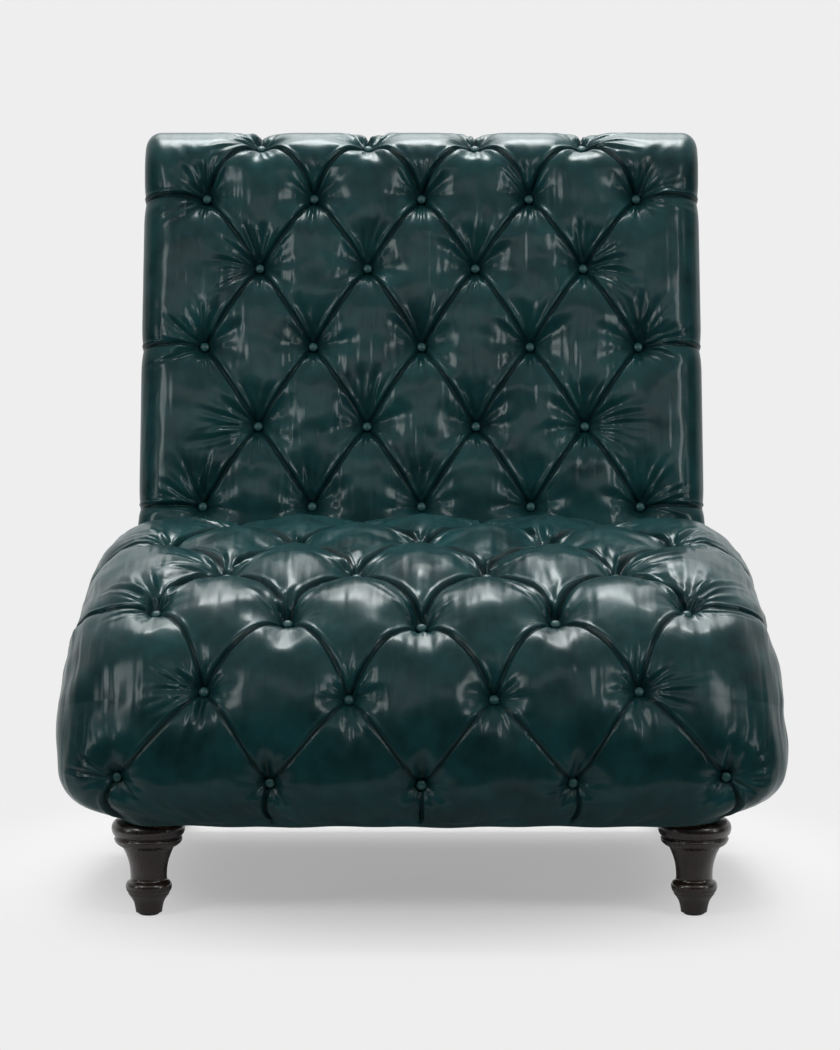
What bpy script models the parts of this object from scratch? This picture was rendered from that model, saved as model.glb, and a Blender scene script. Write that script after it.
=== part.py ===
"""Armless deep-buttoned lounge chair. Metres, +Z up, the front faces -Y, the floor is Z = 0."""

import math

import bmesh
import bpy
import numpy as np
from mathutils import Vector

for thing in list(bpy.data.objects):
    bpy.data.objects.remove(thing, do_unlink=True)

# Overall sizes
SEAT_WIDTH = 0.884
SEAT_DEPTH = 0.542
SEAT_HEIGHT = 0.449
BACK_WIDTH = 0.762
BACK_THICKNESS = 0.148
CHAIR_HEIGHT = 0.954
UNDERSIDE = 0.122

# Clearance between pieces that touch
GAP = 0.0003

# Padding and cover
SEAT_PADDING = 0.050
FRONT_PADDING = 0.052
SEAT_EDGE_RADIUS = 0.120
CREASE_EDGE_RADIUS = 0.085
HEM_EDGE_RADIUS = 0.050
SEAT_CROWN = 0.006
BACK_EDGE_RADIUS = 0.050
REAR_EDGE_RADIUS = 0.015
BACK_SIDE_PADDING = 0.020
SIDE_SKIN = 0.011
HEM_NARROWING = 0.18
HEM_ROUND = 0.113
SEAT_TUFT = 0.036
FRONT_TUFT = 0.026
BACK_TUFT = 0.033
ROLL_TUFT = 0.022
PANEL_THICKNESS = 0.0045
DUST_THICKNESS = 0.0014

# Buttons and twine
BUTTON_RADIUS = 0.0075
BUTTON_DOME = 0.0045
BUTTON_RIM = 0.002
BUTTON_SIDES = 6
TWINE_RADIUS = 0.0015
TWINE_SIDES = 4

# Wooden frame
RAIL_THICKNESS = 0.030
RAIL_HEIGHT = 0.106
POST_WIDTH = 0.030
CREST_ROD_RADIUS = 0.030
LOWER_RAIL_RISE = 0.017
LOWER_RAIL_HEIGHT = 0.040
BLOCK_SIZE = 0.070

# Legs
LEG_INSET = 0.0177
FRONT_LEG_BACK = 0.095
LEG_SIDES = 16
REAR_LEG_TOP = 0.044
REAR_LEG_FOOT = 0.028
REAR_LEG_RAKE = 0.060
BOLT_RADIUS = 0.004
BOLT_IN_LEG = 0.030
BOLT_IN_FRAME = 0.045
GLIDE_RADIUS = 0.0125
GLIDE_THICKNESS = 0.003

# Webbing
STRAP_WIDTH = 0.045
STRAP_THICKNESS = 0.002

# Seat outline from the hem, over the front bulge, to the crease: shares of the depth and of the height over the hem
SEAT_OUTLINE = (
    (0.055, 0.000),
    (0.015, 0.101),
    (0.000, 0.239),
    (0.008, 0.392),
    (0.041, 0.544),
    (0.111, 0.697),
    (0.222, 0.826),
    (0.369, 0.911),
    (0.554, 0.963),
    (0.738, 0.994),
    (0.867, 1.000),
    (1.000, 0.973),
)

# Rows on the seat from the hem to the crease: place along the outline, column pitch, how far the ends bow back
SEAT_ROW_AT = (0.0, 0.0707, 0.220, 0.3775, 0.560, 0.748, 0.9013, 1.0)
SEAT_ROW_PITCH = (0.2070, 0.2070, 0.1968, 0.1844, 0.1833, 0.1833, 0.1809, 0.1809)
SEAT_ROW_BOW = (0.0, 0.015, 0.033, 0.045, 0.016, 0.0, 0.0, 0.0)

# Width of the seat by place along the outline: widest over the front bulge
SEAT_TAPER_AT = (0.0, 0.24, 0.50, 1.0)
SEAT_TAPER = (1.0, 1.0, 0.973, 0.973)

# Lean of the back's front face, in degrees from upright, by share of its length from the bottom
BACK_LEAN_AT = (0.0, 0.36, 0.44, 1.0)
BACK_LEAN = (7.4, 7.4, 16.5, 20.5)

# Rows on the back, from the crease to the roll: shares of the front's length
BACK_ROW_AT = (0.4221, 0.5584, 0.6947, 0.8310, 0.9535, 1.0636)
BACK_PITCH = 0.1930

# Turned front leg from the top down: shares of the collar's radius and of the leg's height
COLLAR_RADIUS = 0.045
LEG_OUTLINE = (
    (0.78, 1.000),
    (0.79, 0.985),
    (0.82, 0.972),
    (0.97, 0.930),
    (1.00, 0.885),
    (0.97, 0.840),
    (0.90, 0.800),
    (0.92, 0.770),
    (0.82, 0.715),
    (0.69, 0.690),
    (0.58, 0.590),
    (0.515, 0.500),
    (0.49, 0.365),
    (0.53, 0.345),
    (0.63, 0.295),
    (0.57, 0.230),
    (0.515, 0.195),
    (0.43, 0.150),
    (0.39, 0.105),
    (0.353, 0.000),
)

SUBSTEPS = 3
OUTER_COLUMNS = 2.0


def material(name, colour, roughness, metallic=0.0):
    made = bpy.data.materials.new(name)
    made.use_nodes = True
    shader = made.node_tree.nodes["Principled BSDF"]
    shader.inputs["Base Color"].default_value = (*colour, 1.0)
    shader.inputs["Roughness"].default_value = roughness
    shader.inputs["Metallic"].default_value = metallic
    return made


LEATHER = material("leather", (0.008, 0.045, 0.047), 0.25)
DARK_WOOD = material("dark_wood", (0.018, 0.012, 0.009), 0.25)
FRAME_WOOD = material("frame_wood", (0.52, 0.36, 0.20), 0.6)
FOAM = material("foam", (0.80, 0.74, 0.55), 0.95)
WEBBING = material("webbing", (0.42, 0.33, 0.20), 0.9)
STEEL = material("steel", (0.55, 0.55, 0.56), 0.35, 1.0)
GLIDE = material("glide", (0.03, 0.03, 0.03), 0.5)
DUST_CLOTH = material("dust_cloth", (0.02, 0.02, 0.02), 0.95)

# Everything hangs from one empty, which centres the chair over the origin at the end
chair = bpy.data.objects.new("chair", None)
bpy.context.scene.collection.objects.link(chair)


def solid(name, points, faces, look=None, smooth=False):
    """A closed mesh object from points and faces, with its faces turned outwards."""
    shape = bmesh.new()
    made = [shape.verts.new(tuple(float(v) for v in p)) for p in points]
    for face in faces:
        shape.faces.new([made[i] for i in face])
    bmesh.ops.recalc_face_normals(shape, faces=shape.faces[:])
    mesh = bpy.data.meshes.new(name)
    shape.to_mesh(mesh)
    shape.free()
    if smooth:
        mesh.shade_smooth()
    item = bpy.data.objects.new(name, mesh)
    bpy.context.scene.collection.objects.link(item)
    if look:
        mesh.materials.append(look)
        item.parent = chair
    return item


def combine(target, operation, *others):
    """Cuts the others from the target, or joins them to it, and keeps the result as plain mesh."""
    for other in others:
        step = target.modifiers.new(operation, "BOOLEAN")
        step.operation = operation
        step.solver = "EXACT"
        step.object = other
    graph = bpy.context.evaluated_depsgraph_get()
    mesh = bpy.data.meshes.new_from_object(target.evaluated_get(graph))
    target.modifiers.clear()
    target.data = mesh
    for other in others:
        bpy.data.objects.remove(other, do_unlink=True)
    return target


def prism(name, outline, x0, x1, look=None):
    """An outline in the YZ plane, drawn out along X."""
    n = len(outline)
    points = [(x0, y, z) for y, z in outline] + [(x1, y, z) for y, z in outline]
    faces = [tuple(range(n)), tuple(range(n, 2 * n))]
    faces += [(i, (i + 1) % n, n + (i + 1) % n, n + i) for i in range(n)]
    return solid(name, points, faces, look)


def slab(name, outline, z0, z1, look=None):
    """An outline in the XY plane, drawn up along Z."""
    n = len(outline)
    points = [(x, y, z0) for x, y in outline] + [(x, y, z1) for x, y in outline]
    faces = [tuple(range(n)), tuple(range(n, 2 * n))]
    faces += [(i, (i + 1) % n, n + (i + 1) % n, n + i) for i in range(n)]
    return solid(name, points, faces, look)


def box(name, x, y, z, look=None):
    return slab(name, [(x[0], y[0]), (x[1], y[0]), (x[1], y[1]), (x[0], y[1])], z[0], z[1], look)


def turned_parts(outline, centre, axis, sides):
    """Points and faces of a lathe shape: outline of (radius, height along axis), closed on the axis at both ends."""
    axis = Vector(axis).normalized()
    across = axis.orthogonal().normalized()
    if abs(axis.x) < 0.9:
        across = (Vector((1, 0, 0)) - axis * axis.x).normalized()
    along = axis.cross(across)
    centre = Vector(centre)
    points = []
    faces = []
    for radius, height in outline:
        for k in range(sides):
            turn = 2 * math.pi * (k + 0.5) / sides
            spoke = across * math.cos(turn) + along * math.sin(turn)
            points.append(centre + axis * height + spoke * radius)
    for ring in range(len(outline) - 1):
        for k in range(sides):
            a = ring * sides + k
            b = ring * sides + (k + 1) % sides
            faces.append((a, b, b + sides, a + sides))
    faces.append(tuple(range(sides)))
    faces.append(tuple(range(len(points) - sides, len(points))))
    return points, faces


def gather(shapes):
    """Several sets of points and faces as one."""
    points = []
    faces = []
    for more, sides in shapes:
        faces += [tuple(i + len(points) for i in face) for face in sides]
        points += list(more)
    return points, faces


def rod_parts(start, end, radius, sides):
    start = Vector(start)
    end = Vector(end)
    length = (end - start).length
    return turned_parts(((radius, 0.0), (radius, length)), start, end - start, sides)


def smooth_line(points, steps=24):
    """A rounded line through all points."""
    p = np.array(points, float)
    p = np.vstack([2 * p[0] - p[1], p, 2 * p[-1] - p[-2]])
    t = np.linspace(0, 1, steps, endpoint=False)[:, None]
    spans = []
    for a, b, c, d in zip(p, p[1:], p[2:], p[3:]):
        spans.append(
            0.5 * (2 * b + (c - a) * t + (2 * a - 5 * b + 4 * c - d) * t**2 + (3 * b - a - 3 * c + d) * t**3)
        )
    return np.vstack(spans + [p[-2:-1]])


class Track:
    """A line in the YZ plane, by distance along it, with the normal that points into the padding."""

    def __init__(self, line):
        self.line = np.array(line, float)
        step = np.linalg.norm(np.diff(self.line, axis=0), axis=1)
        self.s = np.concatenate([[0], np.cumsum(step)])
        self.length = self.s[-1]
        slope = np.gradient(self.line, self.s, axis=0)
        slope /= np.linalg.norm(slope, axis=1)[:, None]
        self.inward = np.stack([slope[:, 1], -slope[:, 0]], axis=1)

    def at(self, s):
        return np.stack([np.interp(s, self.s, self.line[:, i]) for i in (0, 1)], axis=-1)

    def normal(self, s):
        n = np.stack([np.interp(s, self.s, self.inward[:, i]) for i in (0, 1)], axis=-1)
        return n / np.linalg.norm(n, axis=-1, keepdims=True)

    def offset(self, s, depth):
        return self.at(s) + self.normal(s) * np.asarray(depth)[..., None]

    def where_height(self, z):
        """Distance along at which a rising line first reaches this height."""
        return float(np.interp(z, self.line[:, 1], self.s))


def across(u, half, radius, crown):
    """From distance over the surface to (x, depth): flat with a small crown, a rounded edge, then the side."""
    flat = half - radius
    size = np.abs(u)
    turn = np.clip((size - flat) / radius, 0, math.pi / 2)
    beyond = np.maximum(size - flat - radius * math.pi / 2, 0)
    x = np.minimum(size, flat) + radius * np.sin(turn)
    depth = radius * (1 - np.cos(turn)) + beyond + crown * (np.minimum(size, flat) / flat) ** 2
    return np.sign(u) * x, depth


def tuft_depth(u, s, buttons, folds):
    """How far the leather is drawn in: a dimple at each button and a valley along each fold."""
    depth = np.zeros(np.shape(u))
    reach = 0.060
    for bu, bs, pull in buttons:
        near = 1 - ((u - bu) ** 2 + (s - bs) ** 2) / reach**2
        depth = np.maximum(depth, pull * np.clip(near, 0, 1) ** 2)
    width = 0.030
    for (au, as_), (bu, bs), start, end in folds:
        du, ds = bu - au, bs - as_
        t = np.clip(((u - au) * du + (s - as_) * ds) / (du**2 + ds**2), 0, 1)
        gap = np.hypot(u - au - t * du, s - as_ - t * ds)
        pull = start + (end - start) * t
        depth = np.maximum(depth, pull * np.clip(1 - gap / width, 0, 1) ** 1.5)
    return depth


def pushed_in(surface, u, s, depth):
    """Points of a surface moved inwards by depth along its own normal."""
    h = 0.0005
    du = surface(u + h, s) - surface(u - h, s)
    ds = surface(u, s + h) - surface(u, s - h)
    normal = np.cross(du, ds)
    normal /= np.maximum(np.linalg.norm(normal, axis=-1, keepdims=True), 1e-12)
    return surface(u, s) - normal * depth[..., None], normal


def quilted_faces(index, depth):
    """Triangles over a grid of point numbers, each square split along its deeper diagonal."""
    faces = []
    for i in range(index.shape[0] - 1):
        for j in range(index.shape[1] - 1):
            a, b = index[i, j], index[i, j + 1]
            d, c = index[i + 1, j], index[i + 1, j + 1]
            if depth[i, j] + depth[i + 1, j + 1] >= depth[i, j + 1] + depth[i + 1, j]:
                faces += [(a, b, c), (a, c, d)]
            else:
                faces += [(a, b, d), (b, c, d)]
    return faces


# The seat's outline and the back's, in the YZ plane with Y = 0 at the front bulge
seat_rise = SEAT_HEIGHT - UNDERSIDE
seat_track = Track(smooth_line([(a * SEAT_DEPTH, UNDERSIDE + b * seat_rise) for a, b in SEAT_OUTLINE]))
seat_end = seat_track.line[-1]
crease_slope = math.tan(math.radians(BACK_LEAN[0]))
pole = np.array([seat_end[0] - crease_slope * (seat_end[1] - UNDERSIDE), UNDERSIDE])

roll_radius = BACK_THICKNESS / 2
back_start = UNDERSIDE - 0.006
share = np.linspace(0, 1, 241)
lean = np.radians(np.interp(share, BACK_LEAN_AT, BACK_LEAN))
steps = np.stack([np.sin(lean), np.cos(lean)], axis=1)
run = np.vstack([[0, 0], np.cumsum((steps[1:] + steps[:-1]) / 2, axis=0) / (len(share) - 1)])
top_lean = math.radians(BACK_LEAN[-1])
front_top = CHAIR_HEIGHT - roll_radius + roll_radius * math.sin(top_lean)
front_length = (front_top - back_start) / run[-1, 1]
back_foot = pole[0] + crease_slope * (back_start - UNDERSIDE) + 4 * GAP
front_line = run * front_length + [back_foot, back_start]
back_front = Track(front_line)
roll_centre = front_line[-1] + roll_radius * np.array([math.cos(top_lean), -math.sin(top_lean)])
turn = np.linspace(math.pi - top_lean, -top_lean, 61)[1:]
roll_line = roll_centre + roll_radius * np.stack([np.cos(turn), np.sin(turn)], axis=1)
back_track = Track(np.vstack([front_line, roll_line]))
roll_start = back_front.length
roll_end = back_track.length

# Widths that follow from the sizes above
hem_half = SEAT_WIDTH / 2 * (1 - HEM_NARROWING)
frame_half = min(hem_half, BACK_WIDTH / 2 - BACK_SIDE_PADDING) - SIDE_SKIN
core_half = frame_half + GAP
rail_inner = frame_half - RAIL_THICKNESS
rail_top = UNDERSIDE + RAIL_HEIGHT
strap_low = rail_top + GAP
strap_mid = strap_low + STRAP_THICKNESS + GAP
foam_bottom = strap_mid + STRAP_THICKNESS + 3 * GAP
ROD_ROOM_SIDES = 12
rod_room = (CREST_ROD_RADIUS + GAP) / math.cos(math.pi / ROD_ROOM_SIDES)
back_padding = roll_radius - rod_room


def hem_share(z):
    """How much the seat narrows near its hem."""
    low = np.clip((UNDERSIDE + HEM_ROUND - z) / HEM_ROUND, 0, 1)
    return 1 - HEM_NARROWING * low**5


def seat_radius(s):
    """The rounding of the seat's long edges: tight at the hem, full over the front bulge."""
    radii = (HEM_EDGE_RADIUS, SEAT_EDGE_RADIUS, SEAT_EDGE_RADIUS, CREASE_EDGE_RADIUS)
    return np.interp(s / seat_track.length, (0.0, SEAT_ROW_AT[2], SEAT_ROW_AT[4], 1.0), radii)


def seat_half(s):
    return SEAT_WIDTH / 2 * np.interp(s / seat_track.length, SEAT_TAPER_AT, SEAT_TAPER)


def back_half(s):
    return np.full(np.shape(s), BACK_WIDTH / 2)


def back_radius(s):
    """The rounding of the back's front edges: tight beside the seat, full above it."""
    return np.interp(s / front_length, BACK_LEAN_AT[1:3], (REAR_EDGE_RADIUS, BACK_EDGE_RADIUS))


def seat_surface(u, s):
    """The seat's skin before tufting: each cross section lies in a plane through the lower rear edge."""
    crest = seat_track.at(s)
    inward = pole - crest
    reach = np.linalg.norm(inward, axis=-1, keepdims=True)
    inward = inward / reach
    x, depth = across(u, seat_half(s), seat_radius(s), SEAT_CROWN)
    depth = np.minimum(depth, reach[..., 0])
    yz = crest + inward * depth[..., None]
    return np.concatenate([(x * hem_share(yz[..., 1]))[..., None], yz], axis=-1)


def back_surface(u, s):
    """The back's skin before tufting, over the front and round the roll."""
    x, depth = across(u, BACK_WIDTH / 2, back_radius(s), 0.0)
    depth = np.minimum(depth, roll_radius)
    yz = back_track.at(s) + back_track.normal(s) * depth[..., None]
    return np.concatenate([x[..., None], yz], axis=-1)


class Quilt:
    """Places of rows, columns, buttons and folds on one tufted surface."""

    def __init__(self, knots, pitches, bows, half_at, radius_at):
        self.knots = np.array(knots)
        self.pitches = np.array(pitches)
        self.bows = np.array(bows)
        self.levels = np.arange(len(knots))
        self.half_at = half_at
        self.radius_at = radius_at

    def place(self, q, v):
        """(u, s) of a column and a row: columns past the last button spread out to the edge of the side."""
        q, v = np.broadcast_arrays(np.asarray(q, float), np.asarray(v, float))
        pitch = np.interp(v, self.levels, self.pitches)
        inner = np.clip(q, -OUTER_COLUMNS, OUTER_COLUMNS)
        bow = np.interp(v, self.levels, self.bows)
        s = np.interp(v, self.levels, self.knots) + bow * (inner / OUTER_COLUMNS) ** 2
        edge = self.half_at(s) + self.radius_at(s) * (math.pi / 2 - 1)
        u = inner * pitch + (q - inner) * (edge - OUTER_COLUMNS * pitch)
        return u, s


def columns_of(offset):
    """Button columns of a row: five when the row is centred on one, four when it is set off by half a pitch."""
    return (-1.5, -0.5, 0.5, 1.5) if offset else (-2.0, -1.0, 0.0, 1.0, 2.0)


# Columns of the grid: six to a pitch, then three steps round each edge
inner_columns = np.linspace(-OUTER_COLUMNS, OUTER_COLUMNS, int(12 * OUTER_COLUMNS) + 1)
outer_steps = np.array([1, 2, 3]) / 3
grid_q = np.concatenate([-OUTER_COLUMNS - outer_steps[::-1], inner_columns, OUTER_COLUMNS + outer_steps])

# Seat rows from the hem: 1 is the front row of five, 2 has four, and so on to 6 in the crease
seat = Quilt(
    np.array(SEAT_ROW_AT) * seat_track.length,
    np.array(SEAT_ROW_PITCH) * SEAT_WIDTH,
    np.array(SEAT_ROW_BOW) * seat_track.length,
    seat_half,
    seat_radius,
)
half_tuft = (FRONT_TUFT + SEAT_TUFT) / 2
SEAT_PULL = {1: FRONT_TUFT, 2: half_tuft, 3: SEAT_TUFT, 4: SEAT_TUFT, 5: half_tuft, 6: FRONT_TUFT}
FOLD_SHARE = 0.55
seat_rows = {row: columns_of(row % 2 == 0) for row in SEAT_PULL}


def diamond_folds(quilt, rows, pulls):
    """Folds from each button to its nearest ones in the next row."""
    folds = []
    for row in rows:
        if row + 1 not in rows:
            continue
        for q in rows[row]:
            for other in rows[row + 1]:
                if abs(q - other) < 0.6:
                    ends = quilt.place(q, row), quilt.place(other, row + 1)
                    folds.append((*ends, FOLD_SHARE * pulls[row], FOLD_SHARE * pulls[row + 1]))
    return folds


def side_folds(quilt, rows, pulls):
    """Pleats from the end buttons of a row of five round to the side."""
    folds = []
    for row, columns in rows.items():
        if len(columns) == 5:
            for q in (-OUTER_COLUMNS, OUTER_COLUMNS):
                edge = q + math.copysign(0.9, q)
                folds.append((quilt.place(q, row), quilt.place(edge, row), FOLD_SHARE * pulls[row], 0.0))
    return folds


def straight_folds(quilt, rows, pulls, row, level):
    """Pleats from one row of buttons straight to a level above or below."""
    return [
        (quilt.place(q, row), quilt.place(q, level), FOLD_SHARE * pulls[row], 0.0) for q in rows[row]
    ]


seat_buttons = [
    (*seat.place(q, row), SEAT_PULL[row]) for row in seat_rows for q in seat_rows[row]
]
seat_folds = diamond_folds(seat, seat_rows, SEAT_PULL) + side_folds(seat, seat_rows, SEAT_PULL)
seat_folds += straight_folds(seat, seat_rows, SEAT_PULL, 1, 0) + straight_folds(seat, seat_rows, SEAT_PULL, 6, 7)

seat_levels = [0, 0.5]
for row in range(1, 6):
    seat_levels += [row + k / SUBSTEPS for k in range(SUBSTEPS)]
seat_levels += [6, 6.5, 7]


def seat_body():
    """The seat's padded outside as one closed solid, filled in behind and below."""
    q, v = np.meshgrid(grid_q, seat_levels)
    u, s = seat.place(q, v)
    depth = tuft_depth(u, s, seat_buttons, seat_folds)
    depth[[0, -1]] = 0
    points, _ = pushed_in(seat_surface, u, np.clip(s, 0.0006, seat_track.length - 0.0006), depth)
    points[[0, -1]] = seat_surface(u[[0, -1]], s[[0, -1]])
    rows, columns = u.shape
    index = np.arange(rows * columns).reshape(rows, columns)
    faces = quilted_faces(index, depth)
    flat = [tuple(p) for p in points.reshape(-1, 3)]
    ends = []
    for side in (-1, 1):
        x = side * float(seat_half(seat_track.length) * hem_share(pole[1]))
        ends.append(len(flat))
        flat.append((x, pole[0], pole[1]))
    for i in range(rows - 1):
        faces.append((ends[0], index[i, 0], index[i + 1, 0]))
        faces.append((ends[1], index[i + 1, -1], index[i, -1]))
    faces.append((ends[0], *index[0], ends[1]))
    faces.append((ends[1], *index[-1][::-1], ends[0]))
    return solid("seat_cover", flat, faces, LEATHER)


# Back rows from the crease: 1 has five, 2 has four, and so on to 6 on top of the roll
BACK_ROWS = len(BACK_ROW_AT)
back_knots = [0.0] + [place * front_length for place in BACK_ROW_AT] + [roll_end]
back = Quilt(
    back_knots,
    [BACK_PITCH * BACK_WIDTH] * len(back_knots),
    [0.0] * len(back_knots),
    back_half,
    back_radius,
)
BACK_PULL = {row: BACK_TUFT for row in range(1, BACK_ROWS)}
BACK_PULL[BACK_ROWS] = ROLL_TUFT
back_rows = {row: columns_of(row % 2 == 0) for row in BACK_PULL}
back_buttons = [
    (*back.place(q, row), BACK_PULL[row]) for row in back_rows for q in back_rows[row]
]
back_folds = diamond_folds(back, back_rows, BACK_PULL) + side_folds(back, back_rows, BACK_PULL)
back_folds += straight_folds(back, back_rows, BACK_PULL, BACK_ROWS, BACK_ROWS + 0.6)

back_levels = [0]
for row in range(1, BACK_ROWS - 1):
    back_levels += [row + k / SUBSTEPS for k in range(SUBSTEPS)]
back_levels += [BACK_ROWS - 1, BACK_ROWS - 0.55, BACK_ROWS - 0.28]
back_levels += [BACK_ROWS + k / 4 for k in range(5)]


def back_body():
    """The back's padded outside as one closed solid: front and roll, the two sides, and a plain rear."""
    q, v = np.meshgrid(grid_q, back_levels)
    u, s = back.place(q, v)
    depth = tuft_depth(u, s, back_buttons, back_folds)
    depth[[0, -1]] = 0
    points, _ = pushed_in(back_surface, u, np.clip(s, 0.0006, roll_end - 0.0006), depth)
    points[[0, -1]] = back_surface(u[[0, -1]], s[[0, -1]])
    rows, columns = u.shape
    index = np.arange(rows * columns).reshape(rows, columns)
    faces = quilted_faces(index, depth)
    flat = [tuple(p) for p in points.reshape(-1, 3)]

    def add(x, yz):
        flat.append((float(x), float(yz[0]), float(yz[1])))
        return len(flat) - 1

    # The middle of the thickness: one point a side for each front row, then the roll's own centre
    front = [i for i in range(rows) if s[i, columns // 2] < roll_start]
    half = BACK_WIDTH / 2
    spine = []
    for i in range(rows):
        if i in front:
            middle = back_track.offset(s[i, columns // 2], roll_radius)
            spine.append([add(side * half, middle) for side in (-1, 1)])
        elif i == front[-1] + 1:
            spine.append([add(side * half, roll_centre) for side in (-1, 1)])
        else:
            spine.append(spine[-1])
    for i in range(rows - 1):
        for k, edge in ((0, index[:, 0]), (1, index[:, -1])):
            quad = [edge[i], edge[i + 1], spine[i + 1][k], spine[i][k]]
            faces.append(tuple(dict.fromkeys(quad)))

    # The rear needs only its bevelled edges: two points a side
    inset = half - REAR_EDGE_RADIUS
    x = (-half, -inset, inset, half)
    drop = (REAR_EDGE_RADIUS, 0.0, 0.0, REAR_EDGE_RADIUS)
    rear = []
    for i in front:
        place = s[i, columns // 2]
        rear.append([add(xx, back_track.offset(place, BACK_THICKNESS - d)) for xx, d in zip(x, drop)])
    for low, high, side_low, side_high in zip(rear, rear[1:], spine, spine[1:]):
        for j in range(3):
            faces.append((low[j], low[j + 1], high[j + 1], high[j]))
        faces.append((side_low[0], low[0], high[0], side_high[0]))
        faces.append((side_high[1], high[-1], low[-1], side_low[1]))

    # The end of the roll meets the top of the rear
    last = index[-1]
    top = rear[-1]
    top_spine = spine[front[-1]]
    centre = spine[-1]
    faces.append((top[0], top[1], last[1], last[0]))
    faces.append((top[3], top[2], last[-2], last[-1]))
    span = last[1:-1]
    middle = len(span) // 2
    for j in range(len(span) - 1):
        corner = top[1] if j < middle else top[2]
        faces.append((corner, span[j], span[j + 1]))
    faces.append((top[1], span[middle], top[2]))
    faces.append((top_spine[0], centre[0], last[0], top[0]))
    faces.append((top_spine[1], centre[1], last[-1], top[-1]))

    # The lower end
    faces.append((spine[0][0], *index[0], spine[0][1], *rear[0][::-1]))
    return solid("back_cover", flat, faces, LEATHER)


# All layers of the back bend at the same places, so that they stay parallel
bends = np.linspace(0, roll_start, 9)


def layer(s, depth):
    """Points at one depth behind the back's front face, on straight runs between the bends."""
    line = back_front.offset(bends, np.full(len(bends), depth))
    return np.stack([np.interp(s, bends, line[:, i]) for i in (0, 1)], axis=-1)


def band(name, near, far, s0, s1, x0, x1, look, low=None):
    """A piece that follows the back's front face, between two depths behind it."""
    s = np.array([s0] + [b for b in bends if s0 < b < s1] + [s1])
    outline = np.vstack([layer(s, near), layer(s[::-1], far)])
    return prism(name, trimmed([tuple(p) for p in outline], low), x0, x1, look)


def trimmed(outline, low):
    """An outline in the YZ plane with everything below a level taken off."""
    if low is None:
        return outline
    kept = []
    for (y0, z0), (y1, z1) in zip(outline, outline[1:] + outline[:1]):
        if z0 >= low:
            kept.append((y0, z0))
        if (z0 - low) * (z1 - low) < 0:
            t = (low - z0) / (z1 - z0)
            kept.append((y0 + t * (y1 - y0), low))
    return kept


# Buttons: where each sits, which way it faces, and where its twine ends
def button_seats(surface, quilt, rows, pulls):
    found = {}
    for row, columns in rows.items():
        u, s = quilt.place(np.array(columns), float(row))
        points, normals = pushed_in(surface, u, s, np.full(len(columns), pulls[row]))
        found[row] = [(Vector(p), Vector(n)) for p, n in zip(points, normals)]
    return found


seat_places = button_seats(seat_surface, seat, seat_rows, SEAT_PULL)
back_places = button_seats(back_surface, back, back_rows, BACK_PULL)

# A button rests on the sides of its dimple, clear of the bottom
button_lift = BUTTON_RADIUS * 0.62 + GAP
BUTTON_OUTLINE = (
    (BUTTON_RADIUS * 0.35, button_lift + BUTTON_RIM + BUTTON_DOME),
    (BUTTON_RADIUS * 0.80, button_lift + BUTTON_RIM + BUTTON_DOME * 0.65),
    (BUTTON_RADIUS, button_lift + BUTTON_RIM),
    (BUTTON_RADIUS * 0.90, button_lift),
)
twine_hole = (TWINE_RADIUS + GAP) / math.cos(math.pi / TWINE_SIDES)


def button_parts(place, normal):
    return turned_parts(BUTTON_OUTLINE, place, normal, BUTTON_SIDES)


def twine_parts(place, normal, end, radius):
    """Twine from the middle of a button's base to its end behind the padding."""
    return rod_parts(place + normal * (button_lift + BUTTON_RIM), end, radius, TWINE_SIDES)


def string_row(name, places, ends, holders):
    """One row: its buttons, their twine and the run that links the twine behind the webbing, as one solid."""
    heads = gather([button_parts(p, n) for p, n in places])
    lines = gather([twine_parts(p, n, e, TWINE_RADIUS) for (p, n), e in zip(places, ends)])
    first = min(ends, key=lambda e: e.x)
    final = max(ends, key=lambda e: e.x)
    past = Vector((2 * TWINE_RADIUS, 0, 0))
    link = rod_parts(first - past, final + past, TWINE_RADIUS * 1.2, 4)
    row = solid(name, *heads, LEATHER)
    combine(row, "UNION", solid("lines", *lines), solid("link", *link))
    for holder in holders:
        tool = gather([twine_parts(p, n, e, twine_hole) for (p, n), e in zip(places, ends)])
        combine(holder, "DIFFERENCE", solid("tool", *tool))
    return row


# Seat cover: leather and quilting, hollow below for the foam and the frame
cover_s = np.linspace(seat_track.where_height(UNDERSIDE + 0.544 * seat_rise), seat_track.length, 9)


def seat_core(name, inset, low, rear, look=None):
    """What the seat cover wraps: front face behind the front padding, top under the seat padding."""
    top = [tuple(p) for p in seat_track.offset(cover_s, np.full(9, SEAT_PADDING + inset))]
    front = FRONT_PADDING + inset
    outline = [(front, low), (front, rail_top + 0.004)] + top
    if rear is None:
        end = top[-1]
        outline += [(end[0] + 0.1, end[1]), (end[0] + 0.1, low)]
    else:
        outline += [(rear + crease_slope * (top[-1][1] - UNDERSIDE), top[-1][1])]
        outline += [(rear + crease_slope * (low - UNDERSIDE), low)]
    half = core_half - inset
    return prism(name, outline, -half, half, look)


seat_cover = combine(seat_body(), "DIFFERENCE", seat_core("core", 0.0, UNDERSIDE - 0.05, None))
seat_foam = seat_core("seat_foam", GAP, foam_bottom, pole[0], FOAM)

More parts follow.
